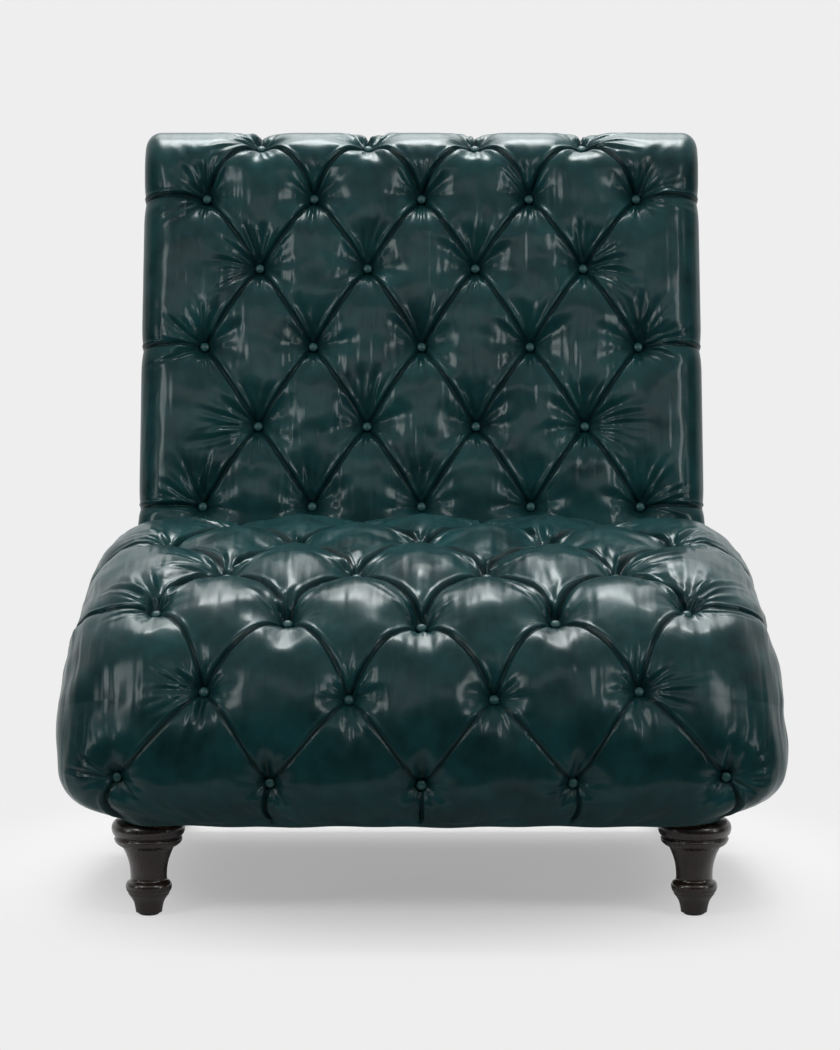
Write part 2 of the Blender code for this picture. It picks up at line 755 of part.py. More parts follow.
# Back cover: open behind and below, where the frame and the outside back panel go
arc = np.linspace(math.pi - top_lean, -top_lean, ROD_ROOM_SIDES // 2 + 1)
core_line = [tuple(p) for p in layer(bends, back_padding)]
first_normal = back_front.normal(0.0)
first_slope = np.array([-first_normal[1], first_normal[0]])
core_line.insert(0, tuple(np.array(core_line[0]) - first_slope * 0.08))
core_line += [tuple(roll_centre + rod_room * np.array([math.cos(a), math.sin(a)])) for a in arc[1:]]
across_lean = np.array([math.cos(top_lean), -math.sin(top_lean)])
core_line += [tuple(roll_centre + across_lean * 3 * roll_radius)]
core_line += [(roll_centre[0] + 3 * roll_radius, core_line[0][1])]
front_open = strap_mid + STRAP_THICKNESS + LOWER_RAIL_RISE * 0.75
back_cover = combine(
    back_body(),
    "DIFFERENCE",
    prism("core", core_line, -core_half, core_half),
    box("under", (-1, 1), (-1, 2), (-1, UNDERSIDE)),
)
combine(
    back_cover,
    "DIFFERENCE",
    box("opening", (-core_half, core_half), (back_foot - 0.1, back_foot + 0.3), (-1, front_open)),
)

# Depths of the layers behind the back's front face
foam_far = back_padding + GAP + 0.0437
strap_near = foam_far + GAP
strap_far = strap_near + STRAP_THICKNESS
cross_near = strap_far + GAP
post_near = cross_near + STRAP_THICKNESS + GAP
panel_near = BACK_THICKNESS - PANEL_THICKNESS
post_far = panel_near - GAP
foam_low = back_front.where_height(front_open + 0.01)
back_foam = band(
    "back_foam",
    back_padding + GAP,
    foam_far,
    foam_low,
    roll_start - CREST_ROD_RADIUS - 2 * GAP,
    -frame_half,
    frame_half,
    FOAM,
)

# Wooden frame
rail_front = FRONT_PADDING + GAP
rail_back = rail_front + RAIL_THICKNESS
box("front_rail", (-frame_half, frame_half), (rail_front, rail_back), (UNDERSIDE, rail_top), FRAME_WOOD)
post_inner = frame_half - POST_WIDTH
post_front = float(back_front.offset(back_front.where_height(UNDERSIDE + 0.01), post_near)[0]) - 0.0025
sides = {"left": -1, "right": 1}
rail_y = (rail_back + GAP, post_front)
for side, sign in sides.items():
    x = sorted((sign * rail_inner, sign * frame_half))
    box(f"side_rail_{side}", x, rail_y, (UNDERSIDE, rail_top), FRAME_WOOD)
    edge = rail_inner - GAP
    corner = [
        (sign * edge, rail_back + GAP),
        (sign * (edge - BLOCK_SIZE), rail_back + GAP),
        (sign * edge, rail_back + GAP + BLOCK_SIZE),
    ]
    slab(f"corner_block_{side}", corner, UNDERSIDE, rail_top - 0.02, FRAME_WOOD)
    x = sorted((sign * post_inner, sign * frame_half))
    post = band(f"post_{side}", post_near, post_far, 0.0, roll_start - GAP, *x, FRAME_WOOD, UNDERSIDE)
    rod = rod_parts((-1, *roll_centre), (1, *roll_centre), rod_room, LEG_SIDES)
    combine(post, "DIFFERENCE", solid("rod", *rod))
between = post_inner - GAP
low_s = back_front.where_height(rail_top + 0.02)
rail_low_s = back_front.where_height(front_open + 0.012)
rear_outline = [
    tuple(p)
    for p in np.vstack(
        [
            layer(np.array([0.0, low_s + 0.1]), post_near),
            layer(np.array([low_s + 0.1, 0.0]), post_far),
        ]
    )
]
rear_outline = trimmed(rear_outline, UNDERSIDE)
rear_outline = [(y, -z) for y, z in trimmed([(y, -z) for y, z in rear_outline], -rail_top)]
prism("rear_rail", rear_outline, -between, between, FRAME_WOOD)
lower_near = strap_far + GAP
band(
    "lower_back_rail",
    lower_near,
    post_far,
    rail_low_s + 0.02,
    rail_low_s + 0.02 + LOWER_RAIL_HEIGHT,
    -between,
    between,
    FRAME_WOOD,
)
crest_rail = solid(
    "crest_rail",
    *rod_parts((-frame_half, *roll_centre), (frame_half, *roll_centre), CREST_ROD_RADIUS, LEG_SIDES),
    FRAME_WOOD,
    True,
)

# Buttons of the seat: the front row is nailed to the front rail, the others are strung
run_drop = TWINE_RADIUS * 1.2 + GAP
nail_end = rail_front + RAIL_THICKNESS * 0.6
nail_limit = frame_half - 0.008
front_rail = bpy.data.objects["front_rail"]
for k, (place, normal) in enumerate(seat_places[1]):
    end = Vector((max(-nail_limit, min(nail_limit, place.x)), nail_end, place.z))
    head = solid(f"front_button_{k + 1}", *button_parts(place, normal), LEATHER)
    combine(head, "UNION", solid("nail", *twine_parts(place, normal, end, TWINE_RADIUS)))
    hole = twine_parts(place, normal, end + Vector((0, GAP, 0)), twine_hole)
    for holder in (front_rail, seat_cover):
        combine(holder, "DIFFERENCE", solid("hole", *hole))

inner_limit = rail_inner - 4 * TWINE_RADIUS
seat_runs = []
for row in (2, 3, 4, 5, 6):
    places = seat_places[row]
    if row == 2:
        ends = [Vector((p.x, rail_front + RAIL_THICKNESS / 2, rail_top + run_drop)) for p, _ in places]
    else:
        level = strap_low - run_drop
        ends = [Vector((max(-inner_limit, min(inner_limit, p.x)), p.y, level)) for p, _ in places]
        middle = sum(e.y for e in ends) / len(ends)
        ends = [Vector((e.x, middle, e.z)) for e in ends]
        seat_runs.append(middle)
    string_row(f"seat_buttons_{row - 1}", places, ends, [seat_cover, seat_foam])

# Buttons of the back: the twine runs straight in, and the top row goes through the crest rail
run_depth = strap_far + run_drop
for row in range(1, BACK_ROWS + 1):
    places = back_places[row]
    s = back.place(0.0, float(row))[1]
    if row < BACK_ROWS:
        y, z = layer(s, run_depth)
        ends = [Vector((p.x, y, z)) for p, _ in places]
        holders = [back_cover, back_foam]
    else:
        reach = CREST_ROD_RADIUS + run_drop
        inward = back_track.normal(s)
        y, z = roll_centre + inward * reach
        ends = [Vector((p.x, y, z)) for p, _ in places]
        holders = [back_cover, crest_rail, back_foam]
    string_row(f"back_buttons_{row}", places, ends, holders)

# Webbing of the seat: four straps front to back, three across them
pitch = SEAT_ROW_PITCH[4] * SEAT_WIDTH
rear_edge = max(y for y, z in rear_outline) - 0.012
half_strap = STRAP_WIDTH / 2
for k, share_of_pitch in enumerate((-1.28, -0.26, 0.26, 1.28)):
    middle = share_of_pitch * pitch
    box(
        f"seat_strap_{k + 1}",
        (middle - half_strap, middle + half_strap),
        (rail_back - RAIL_THICKNESS * 0.3, rear_edge),
        (strap_low, strap_low + STRAP_THICKNESS),
        WEBBING,
    )
for k, (a, b) in enumerate(zip(seat_runs, seat_runs[1:])):
    middle = (a + b) / 2
    box(
        f"seat_cross_strap_{k + 1}",
        (-frame_half + 0.003, frame_half - 0.003),
        (middle - half_strap, middle + half_strap),
        (strap_mid, strap_mid + STRAP_THICKNESS),
        WEBBING,
    )

# Webbing of the back: four upright straps on three cross straps that are fixed to the posts
pitch = BACK_PITCH * BACK_WIDTH
strap_top = roll_start - CREST_ROD_RADIUS - 4 * TWINE_RADIUS
for k, share_of_pitch in enumerate((-1.25, -0.25, 0.25, 1.25)):
    middle = share_of_pitch * pitch
    band(
        f"back_strap_{k + 1}",
        strap_near,
        strap_far,
        rail_low_s + 0.02,
        strap_top,
        middle - half_strap,
        middle + half_strap,
        WEBBING,
    )
for k, row in enumerate((1, 2, 4)):
    middle = back.place(0.0, row + 0.5)[1]
    band(
        f"back_cross_strap_{k + 1}",
        cross_near,
        cross_near + STRAP_THICKNESS,
        middle - half_strap,
        middle + half_strap,
        -frame_half + 0.003,
        frame_half - 0.003,
        WEBBING,
    )

# Outside back panel, between the side skins and under the end of the roll
band(
    "outside_back",
    panel_near,
    BACK_THICKNESS,
    0.0,
    roll_start - GAP,
    -frame_half,
    frame_half,
    LEATHER,
    UNDERSIDE,
)

# Legs, the bolts that hold them, and a glide under each foot
leg_top = UNDERSIDE - GAP
leg_foot = GLIDE_THICKNESS + GAP
leg_height = leg_top - leg_foot
leg_x = frame_half - LEG_INSET
post_y = float(np.mean([y for y, z in trimmed(rear_outline, UNDERSIDE) if z < UNDERSIDE + 0.001]))


def glide(name, x, y):
    outline = ((GLIDE_RADIUS, GLIDE_THICKNESS), (GLIDE_RADIUS, GLIDE_THICKNESS * 0.3), (GLIDE_RADIUS * 0.85, 0.0))
    return solid(name, *turned_parts(outline, (x, y, 0), (0, 0, 1), 12), GLIDE, True)


def bolt(name, x, y, holders):
    """A hanger bolt, with its holes in the leg below and the frame above."""
    low, high = leg_top - BOLT_IN_LEG, UNDERSIDE + BOLT_IN_FRAME
    made = solid(name, *rod_parts((x, y, low), (x, y, high), BOLT_RADIUS, 8), STEEL)
    hole = (BOLT_RADIUS + GAP) / math.cos(math.pi / 8)
    for holder in holders:
        tool = rod_parts((x, y, low - GAP), (x, y, high + GAP), hole, 8)
        combine(holder, "DIFFERENCE", solid("tool", *tool))
    return made


for side, sign in sides.items():
    x = sign * leg_x
    y = FRONT_LEG_BACK
    outline = [(r * COLLAR_RADIUS, leg_foot + h * leg_height) for r, h in LEG_OUTLINE]
    leg = solid(f"front_leg_{side}", *turned_parts(outline, (x, y, 0), (0, 0, 1), LEG_SIDES), DARK_WOOD, True)
    bolt(f"front_bolt_{side}", x, y, [leg, bpy.data.objects[f"side_rail_{side}"]])
    glide(f"front_glide_{side}", x, y)
    x = sign * (frame_half - POST_WIDTH / 2)
    y = post_y
    top = REAR_LEG_TOP / 2
    foot = REAR_LEG_FOOT / 2
    back_y = y + REAR_LEG_RAKE
    corners = [(x + a * top, y + b * top, leg_top) for a, b in ((-1, -1), (1, -1), (1, 1), (-1, 1))]
    corners += [(x + a * foot, back_y + b * foot, leg_foot) for a, b in ((-1, -1), (1, -1), (1, 1), (-1, 1))]
    leg = solid(
        f"rear_leg_{side}",
        corners,
        [(0, 1, 2, 3), (4, 5, 6, 7), (0, 1, 5, 4), (1, 2, 6, 5), (2, 3, 7, 6), (3, 0, 4, 7)],
        DARK_WOOD,
    )
    bolt(f"rear_bolt_{side}", x, y, [leg, bpy.data.objects[f"post_{side}"]])
    glide(f"rear_glide_{side}", x, back_y)

# Dust cover under the frame, notched round the legs
room = COLLAR_RADIUS * LEG_OUTLINE[0][0] + 2 * GAP
front_x = leg_x - room
front_y = FRONT_LEG_BACK + room
rear_x = frame_half - POST_WIDTH / 2 - REAR_LEG_TOP / 2 - 2 * GAP
rear_y = post_y - REAR_LEG_TOP / 2 - 2 * GAP
wide = frame_half - 0.004
near = rail_front + 0.002
far = post_y + 0.015
half_outline = [(front_x, near), (front_x, front_y), (wide, front_y), (wide, rear_y), (rear_x, rear_y), (rear_x, far)]
dust_outline = half_outline + [(-x, y) for x, y in half_outline[::-1]]
slab("dust_cover", dust_outline, leg_top - DUST_THICKNESS, leg_top, DUST_CLOTH)

# Centre the chair over the origin, front towards -Y
bpy.context.view_layer.update()
corners = [
    item.matrix_world @ Vector(c) for item in chair.children for c in item.bound_box
]
middle = (min(c.y for c in corners) + max(c.y for c in corners)) / 2
chair.location.y = -middle
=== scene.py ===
# %% [markdown]
# A deep-buttoned leather lounge chair
#
# The chair has no arms: a padded seat, a padded back that rolls over at the top, and turned front legs. The solids
# of the chair come in as a fixed frame. This lesson dresses them: leather with its buttons, folds and wrinkles,
# lacquered legs, a floor and soft light.

# %% Load the frame
import math

import bmesh
import bpy
import numpy as np
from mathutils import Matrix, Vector


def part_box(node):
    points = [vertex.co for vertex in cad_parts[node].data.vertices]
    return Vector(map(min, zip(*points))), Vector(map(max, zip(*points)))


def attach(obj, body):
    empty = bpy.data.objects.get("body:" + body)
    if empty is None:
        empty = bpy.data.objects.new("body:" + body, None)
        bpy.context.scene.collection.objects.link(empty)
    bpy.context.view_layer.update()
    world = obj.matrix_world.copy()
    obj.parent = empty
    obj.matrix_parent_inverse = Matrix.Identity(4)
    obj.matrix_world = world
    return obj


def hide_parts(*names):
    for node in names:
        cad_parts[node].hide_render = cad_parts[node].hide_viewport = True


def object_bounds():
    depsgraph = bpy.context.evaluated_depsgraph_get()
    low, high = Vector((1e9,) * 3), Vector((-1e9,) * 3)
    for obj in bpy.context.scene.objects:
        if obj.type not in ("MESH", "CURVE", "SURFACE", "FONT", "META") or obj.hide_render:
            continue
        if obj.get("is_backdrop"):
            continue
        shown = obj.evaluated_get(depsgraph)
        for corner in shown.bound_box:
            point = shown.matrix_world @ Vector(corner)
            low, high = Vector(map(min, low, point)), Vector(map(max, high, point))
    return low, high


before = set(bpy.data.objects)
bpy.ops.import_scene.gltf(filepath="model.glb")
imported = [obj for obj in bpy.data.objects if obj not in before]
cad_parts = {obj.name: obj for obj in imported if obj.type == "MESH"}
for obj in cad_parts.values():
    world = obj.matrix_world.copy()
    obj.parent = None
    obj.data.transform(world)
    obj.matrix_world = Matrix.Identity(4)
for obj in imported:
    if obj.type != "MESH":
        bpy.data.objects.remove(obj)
cad_low, cad_high = (list(map(float, corner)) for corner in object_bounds())
front_y = cad_low[1]
rng = np.random.default_rng(7)


def placed(name, data):
    """A new object in the scene."""
    item = bpy.data.objects.new(name, data)
    bpy.context.scene.collection.objects.link(item)
    return item


def built(name, points, faces, material=None):
    """A new mesh in the scene."""
    mesh = bpy.data.meshes.new(name)
    mesh.from_pydata(points, [], faces)
    if material:
        mesh.materials.append(material)
    return placed(name, mesh)


print("the chair is", [round(b - a, 3) for a, b in zip(cad_low, cad_high)], "m")

# %% [markdown]
# Camera
#
# The photo looks at the chair from straight in front, from just below the height of its top and about four metres
# away. A long lens keeps the upright edges nearly parallel. The camera is tipped down, and the lens is shifted
# sideways by a pixel or two.

# %% Camera
PHOTO_HEIGHT, FOCAL_PIXELS, SHIFT_PIXELS = 1050, 3415.0, -1.5
CAMERA_HEIGHT, CAMERA_BACK, CAMERA_TIP = 0.90, 4.0, 5.90
SENSOR = 36.0
camera = placed("camera", bpy.data.cameras.new("camera"))
camera.location = (0.0, front_y - CAMERA_BACK, CAMERA_HEIGHT)
camera.rotation_euler = (math.radians(90 - CAMERA_TIP), 0, 0)
camera.data.sensor_fit = "AUTO"
camera.data.sensor_width = SENSOR
camera.data.lens = FOCAL_PIXELS / PHOTO_HEIGHT * SENSOR
camera.data.shift_x = SHIFT_PIXELS / PHOTO_HEIGHT
camera.data.dof.use_dof = False
bpy.context.scene.camera = camera
print("lens", round(camera.data.lens, 1), "mm")

# %% [markdown]
# A small language for materials
#
# A shader is a graph of nodes. Writing every link by hand hides the idea, so one small class wraps an output socket
# and turns plus, minus, times and divided by into Math nodes. Every other kind of node comes from one method.


# %% Shader helper
class Wire:
    """One output socket of a material, with arithmetic."""

    def __init__(self, look, socket):
        self.look = look
        self.socket = socket

    def __add__(self, other):
        return self.look.node("Math", {0: self, 1: other}, operation="ADD")

    def __rsub__(self, other):
        return self.look.node("Math", {0: other, 1: self}, operation="SUBTRACT")

    def __mul__(self, other):
        return self.look.node("Math", {0: self, 1: other}, operation="MULTIPLY")

    def __truediv__(self, other):
        return self.look.node("Math", {0: self, 1: other}, operation="DIVIDE")


class Graph:
    """A node tree: its nodes come from one method."""

    def __init__(self, tree):
        self.tree = tree

    def join(self, socket, value):
        if isinstance(value, Wire):
            self.tree.links.new(value.socket, socket)
        else:
            socket.default_value = value

    def node(self, kind, sockets=None, output=0, **settings):
        made = self.tree.nodes.new("ShaderNode" + kind)
        for name, value in settings.items():
            setattr(made, name, value)
        for name, value in (sockets or {}).items():
            self.join(made.inputs[name], value)
        return None if output is None else Wire(self, made.outputs[output])

    def noise(self, place, scale, detail=3.0, roughness=0.5):
        return self.node("TexNoise", {"Vector": place, "Scale": scale, "Detail": detail, "Roughness": roughness})

    def stretched(self, place, factors):
        return self.node("Mapping", {"Vector": place, "Scale": factors})

    def ramp(self, value, *stops):
        """Two colours or greys, each with the value where it is reached."""
        wire = self.node("ValToRGB", {"Fac": value})
        for stop, (place, colour) in zip(wire.socket.node.color_ramp.elements, stops):
            stop.position = place
            stop.color = (*colour, 1.0) if isinstance(colour, tuple) else (colour, colour, colour, 1.0)
        return wire

    def bump(self, height, strength, distance, under=None):
        sockets = {"Height": height, "Strength": strength, "Distance": distance}
        if under is not None:
            sockets["Normal"] = under
        return self.node("Bump", sockets)

    def vector(self, operation, a, b, output=0):
        return self.node("VectorMath", {0: a, 1: b}, output, operation=operation)

    def smooth(self, value, low, high, first=0.0, last=1.0):
        """From first to last while the value goes from low to high, eased at both ends."""
        sockets = {0: value, 1: low, 2: high, 3: first, 4: last}
        return self.node("MapRange", sockets, interpolation_type="SMOOTHSTEP")


class Look(Graph):
    """A material built from a Principled shader."""

    def __init__(self, name, roughness, **plain):
        self.material = bpy.data.materials.new(name)
        self.material.use_nodes = True
        super().__init__(self.material.node_tree)
        self.shader = self.tree.nodes["Principled BSDF"]
        self.set(Roughness=roughness, **plain)

    def place(self):
        """Where a point is, in metres."""
        return self.node("TexCoord", output="Object")

    def tones(self, value, dark, light):
        """A ramp over the middle of a noise."""
        return self.ramp(value, (0.3, dark), (0.7, light))

    def set(self, **sockets):
        for name, value in sockets.items():
            self.join(self.shader.inputs[name.replace("_", " ")], value)


print("shader helper ready")

# %% [markdown]
# Floor and light
#
# The photo is a studio shot: a pale sweep, white all round and above, and a darker room behind the camera. Glossy
# leather shows that room, so the surroundings are pale above and behind the chair and dim in front of it. Seven soft
# boxes make the broad streaks on the leather.


# %% Floor
PALE = (0.855, 0.855, 0.855, 1.0)
FLOOR_TONES = (0.0, 0.69), (1.0, 0.72)
FLOOR_FILL = 0.42
FLOOR_RADIUS, FLOOR_BACK = 1.42, 0.7
RAYS = ("Is Camera Ray", "Is Glossy Ray", "Is Transmission Ray")


def shown(graph, mirror):
    """1 for what the camera sees itself, and the given share for what it sees mirrored or through something."""
    seen, mirrored, through = (graph.node("LightPath", output=name) for name in RAYS)
    return seen + (mirrored + through) * mirror


def floor_look():
    look = Look("floor_paint", 0.9, Specular_IOR_Level=0.0)
    place = look.place()
    look.set(Base_Color=look.ramp(look.noise(place, 1.5), *FLOOR_TONES))
    far = look.node("VectorMath", {0: place}, 1, operation="LENGTH")
    behind = look.smooth(look.node("SeparateXYZ", {0: place}, 1), 0.2, 0.8)
    away = shown(look, behind) * look.smooth(far, 0.30, 0.70, FLOOR_FILL, 1.0)
    glow = look.node("Emission", {"Color": PALE, "Strength": 1.0})
    plain = Wire(look, look.shader.outputs[0])
    mixed = look.node("MixShader", {0: away, 1: plain, 2: glow})
    look.tree.links.new(mixed.socket, look.tree.nodes["Material Output"].inputs["Surface"])
    return look.material


turns = [math.radians(degrees) for degrees in range(0, 360, 4)]
rim = [(FLOOR_RADIUS * math.cos(a), FLOOR_BACK + FLOOR_RADIUS * math.sin(a), 0) for a in turns]
floor = built("floor", rim, [tuple(range(len(rim)))], floor_look())
floor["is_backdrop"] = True
print("floor", 2 * FLOOR_RADIUS, "m across")



# %% Room and lamps
DIM_FRONT, DIM_REAR, ABOVE = 0.02, 0.25, 0.50
# Each soft box: its name, place and aim, its width and height, its watts and its spread in degrees
SOFT_BOXES = (
    ("overhead", (0.0, 1.7, 2.5), (0.0, 0.0, 0.5), 3.6, 2.8, 15, 50),
    ("top", (0.0, 0.70, 2.2), (0.0, 0.30, 0.93), 1.6, 0.6, 4.6, 40),
    ("front_high", (0.0, -3.6, 3.1), (0.0, 0.3, 0.85), 3.2, 1.1, 1.6, 50),
    ("left", (-3.0, -1.7, 1.1), (0.0, 0.0, 0.5), 0.5, 1.6, 1.8, 60),
    ("left_high", (-2.0, -2.4, 2.4), (0.0, 0.1, 0.7), 0.9, 1.3, 4.4, 60),
    ("right", (3.0, -1.7, 1.1), (0.0, 0.0, 0.5), 0.5, 1.6, 1.8, 60),
    ("right_high", (2.0, -2.4, 2.4), (0.0, 0.1, 0.7), 0.9, 1.3, 4.4, 60),
)


def room():
    world = bpy.data.worlds.new("studio")
    bpy.context.scene.world = world
    world.use_nodes = True
    world.node_tree.nodes.clear()
    graph = Graph(world.node_tree)
    place = graph.node("TexCoord", output="Generated")
    depth, height = (graph.node("SeparateXYZ", {0: place}, axis) for axis in ("Y", "Z"))
    shade = graph.smooth(depth, -0.10, 0.60, DIM_FRONT, DIM_REAR) + graph.smooth(height, 0.15, 0.75, 0.0, ABOVE)
    pale = graph.node("Background", {"Color": PALE})
    around = graph.node("Background", {"Color": shade})
    share = shown(graph, graph.smooth(depth, 0.0, 0.60))
    mixed = graph.node("MixShader", {0: share, 1: around, 2: pale})
    graph.node("OutputWorld", {"Surface": mixed}, None)


def softbox(name, place, aim, width, height, power, spread):
    lamp = bpy.data.lights.new(name, "AREA")
    lamp.shape = "RECTANGLE"
    lamp.size, lamp.size_y, lamp.energy, lamp.spread = width, height, power, math.radians(spread)
    item = placed(name, lamp)
    item.location = place
    item.rotation_euler = (Vector(aim) - Vector(place)).to_track_quat("-Z", "Y").to_euler()


room()
for box in SOFT_BOXES:
    softbox(*box)
bpy.context.scene.view_settings.view_transform = "Standard"
print("room and", len(SOFT_BOXES), "soft boxes")

# %% [markdown]
# The shape under the leather
#
# Every tufted surface here is a flat sheet bent round the padding. A point on it has two numbers: u, the distance
# across from the middle, and s, the distance up along the side view's outline. Working in these two numbers keeps
# buttons, folds and wrinkles at their true sizes, wherever the surface bends. The outlines repeat those of the frame.

# %% Sizes of the frame
SEAT_WIDTH, SEAT_DEPTH, SEAT_HEIGHT = 0.884, 0.542, 0.449
BACK_WIDTH, CHAIR_HEIGHT, UNDERSIDE = 0.762, 0.954, 0.122
SEAT_OUTLINE = (
    (0.055, 0.000), (0.015, 0.101), (0.000, 0.239), (0.008, 0.392), (0.041, 0.544), (0.111, 0.697),
    (0.222, 0.826), (0.369, 0.911), (0.554, 0.963), (0.738, 0.994), (0.867, 1.000), (1.000, 0.973),
)
BACK_LEAN_AT, BACK_LEAN = (0.0, 0.36, 0.44, 1.0), (7.4, 7.4, 16.5, 20.5)
ROLL = 0.074
CREASE = math.tan(math.radians(BACK_LEAN[0]))
SEAT_CROWN = 0.006
SEAT_EDGE, BACK_EDGE = 0.120, 0.040
HEM_NARROWING, HEM_ROUND = 0.18, 0.113
BACK_DROP, CREASE_GAP = 0.006, 0.0012


# %% Outlines in the side view
def smooth_line(points, pieces=24):
    """A rounded line through all points."""
    p = np.array(points, float)
    p = np.vstack([2 * p[0] - p[1], p, 2 * p[-1] - p[-2]])
    t = np.linspace(0, 1, pieces, endpoint=False)[:, None]
    spans = []
    for a, b, c, d in zip(p, p[1:], p[2:], p[3:]):
        spans.append(
            0.5 * (2 * b + (c - a) * t + (2 * a - 5 * b + 4 * c - d) * t**2 + (3 * b - a - 3 * c + d) * t**3)
        )
    return np.vstack(spans + [p[-2:-1]])


class Track:
    """A line in the side view, by distance along it, with the normal that points into the padding."""

    def __init__(self, line):
        self.line = np.array(line, float)
        self.s = np.concatenate([[0], np.cumsum(np.linalg.norm(np.diff(self.line, axis=0), axis=1))])
        self.length = self.s[-1]
        slope = np.gradient(self.line, self.s, axis=0)
        slope /= np.linalg.norm(slope, axis=1)[:, None]
        self.inward = np.stack([slope[:, 1], -slope[:, 0]], axis=1)

    def read(self, columns, s):
        return np.stack([np.interp(s, self.s, columns[:, i]) for i in (0, 1)], axis=-1)

    def at(self, s):
        return self.read(self.line, s)

    def normal(self, s):
        n = self.read(self.inward, s)
        return n / np.linalg.norm(n, axis=-1, keepdims=True)


seat_rise = SEAT_HEIGHT - UNDERSIDE
seat_track = Track(smooth_line([(front_y + a * SEAT_DEPTH, UNDERSIDE + b * seat_rise) for a, b in SEAT_OUTLINE]))
seat_end = seat_track.line[-1]
pole = np.array([seat_end[0] - CREASE * (seat_end[1] - UNDERSIDE), UNDERSIDE])
share = np.linspace(0, 1, 241)
lean = np.radians(np.interp(share, BACK_LEAN_AT, BACK_LEAN))
rise = np.stack([np.sin(lean), np.cos(lean)], axis=1)
run = np.vstack([[0, 0], np.cumsum((rise[1:] + rise[:-1]) / 2, axis=0) / (len(share) - 1)])
top_lean = lean[-1]
back_low = UNDERSIDE - BACK_DROP
front_length = (CHAIR_HEIGHT - ROLL + ROLL * math.sin(top_lean) - back_low) / run[-1, 1]
front_line = run * front_length + [pole[0] + CREASE * (back_low - UNDERSIDE) + CREASE_GAP, back_low]
roll_centre = front_line[-1] + ROLL * np.array([math.cos(top_lean), -math.sin(top_lean)])
turn = np.linspace(math.pi - top_lean, -top_lean, 61)[1:]
roll_line = roll_centre + ROLL * np.stack([np.cos(turn), np.sin(turn)], axis=1)
behind = Track(front_line)
rear_line = (front_line + behind.inward * 2 * ROLL)[::-1][1:]
back_track = Track(np.vstack([front_line, roll_line, rear_line]))
roll_start = behind.length
roll_end = roll_start + math.pi * ROLL
print("seat outline", round(seat_track.length, 3), "m; back outline", round(back_track.length, 3), "m")


# %% Surfaces from (u, s)
def across(u, half, radius, crown):
    """From distance over the surface to (x, depth): flat with a small crown, a rounded edge, then the side."""
    flat = half - radius
    size = np.abs(u)
    bend = np.clip((size - flat) / radius, 0, math.pi / 2)
    beyond = np.maximum(size - flat - radius * math.pi / 2, 0)
    x = np.minimum(size, flat) + radius * np.sin(bend)
    return np.sign(u) * x, radius * (1 - np.cos(bend)) + beyond + crown * (np.minimum(size, flat) / flat) ** 2


def seat_radius(s):
    return np.interp(s / seat_track.length, (0.0, 0.22, 0.56, 1.0), (0.050, SEAT_EDGE, SEAT_EDGE, 0.085))


def seat_half(s):
    return SEAT_WIDTH / 2 * np.interp(s / seat_track.length, (0.0, 0.24, 0.50, 1.0), (1.0, 1.0, 0.973, 0.973))


def back_half(s):
    return np.full(np.shape(s), BACK_WIDTH / 2)


def back_radius(s):
    low, high = BACK_LEAN_AT[1] * front_length, BACK_LEAN_AT[2] * front_length
    at = (low, high, roll_start - 0.04, roll_start + 0.06, roll_end + 0.12)
    return np.interp(s, at, (0.015, BACK_EDGE, BACK_EDGE, 0.022, 0.015))


def seat_reach(s):
    return np.linalg.norm(pole - seat_track.at(s), axis=-1)


def seat_surface(u, s):
    """The seat before tufting: each cross section lies in a plane through the lower rear edge."""
    crest = seat_track.at(s)
    inward = pole - crest
    reach = np.linalg.norm(inward, axis=-1)
    x, depth = across(u, seat_half(s), seat_radius(s), SEAT_CROWN)
    yz = crest + inward * (np.minimum(depth, reach) / reach)[..., None]
    low = np.clip((UNDERSIDE + HEM_ROUND - yz[..., 1]) / HEM_ROUND, 0, 1)
    return np.concatenate([(x * (1 - HEM_NARROWING * low**5))[..., None], yz], axis=-1)


def back_surface(u, s):
    """The back before tufting: up the front, round the roll and down the rear."""
    x, depth = across(u, BACK_WIDTH / 2, back_radius(s), 0.0)
    yz = back_track.at(s) + back_track.normal(s) * np.minimum(depth, ROLL)[..., None]
    return np.concatenate([x[..., None], yz], axis=-1)


print("crest of the seat at", np.round(seat_surface(np.array(0.0), np.array(0.5)), 3))

# %% [markdown]
# Where the buttons and folds are
#
# Deep buttoning is a net of diamonds. Rows of five and rows of four take turns, and a fold runs from every button to
# its neighbours in the next row. At the edges the folds become straight pleats. On the real chair each fold sags a
# little, so the diamonds look like scales: a fold here is a line of points with some bulge.

# %% Rows and buttons
SEAT_ROW_AT = (0.0, 0.0707, 0.220, 0.3775, 0.560, 0.748, 0.9013, 1.0)
SEAT_ROW_PITCH = (0.2450, 0.2070, 0.1968, 0.1844, 0.1833, 0.1833, 0.1809, 0.1809)
SEAT_ROW_BOW = (0.0, 0.015, 0.033, 0.045, 0.016, 0.0, 0.0, 0.0)
SEAT_PULL = {1: 0.026, 2: 0.031, 3: 0.036, 4: 0.036, 5: 0.031, 6: 0.026}
BACK_PULL = {1: 0.033, 2: 0.033, 3: 0.033, 4: 0.033, 5: 0.033, 6: 0.022}
BACK_ROW_AT = (0.4221, 0.5584, 0.6947, 0.8310, 0.9535, 1.0636)
BACK_PITCH = 0.1930
# Of the pillows: how steep they are, how wide a dimple is and how deep a fold's line is
SEAT_SIZES = (2.1, 0.058, 0.0042)
BACK_SIZES = (2.4, 0.072, 0.0036)
NUDGE = 0.0008


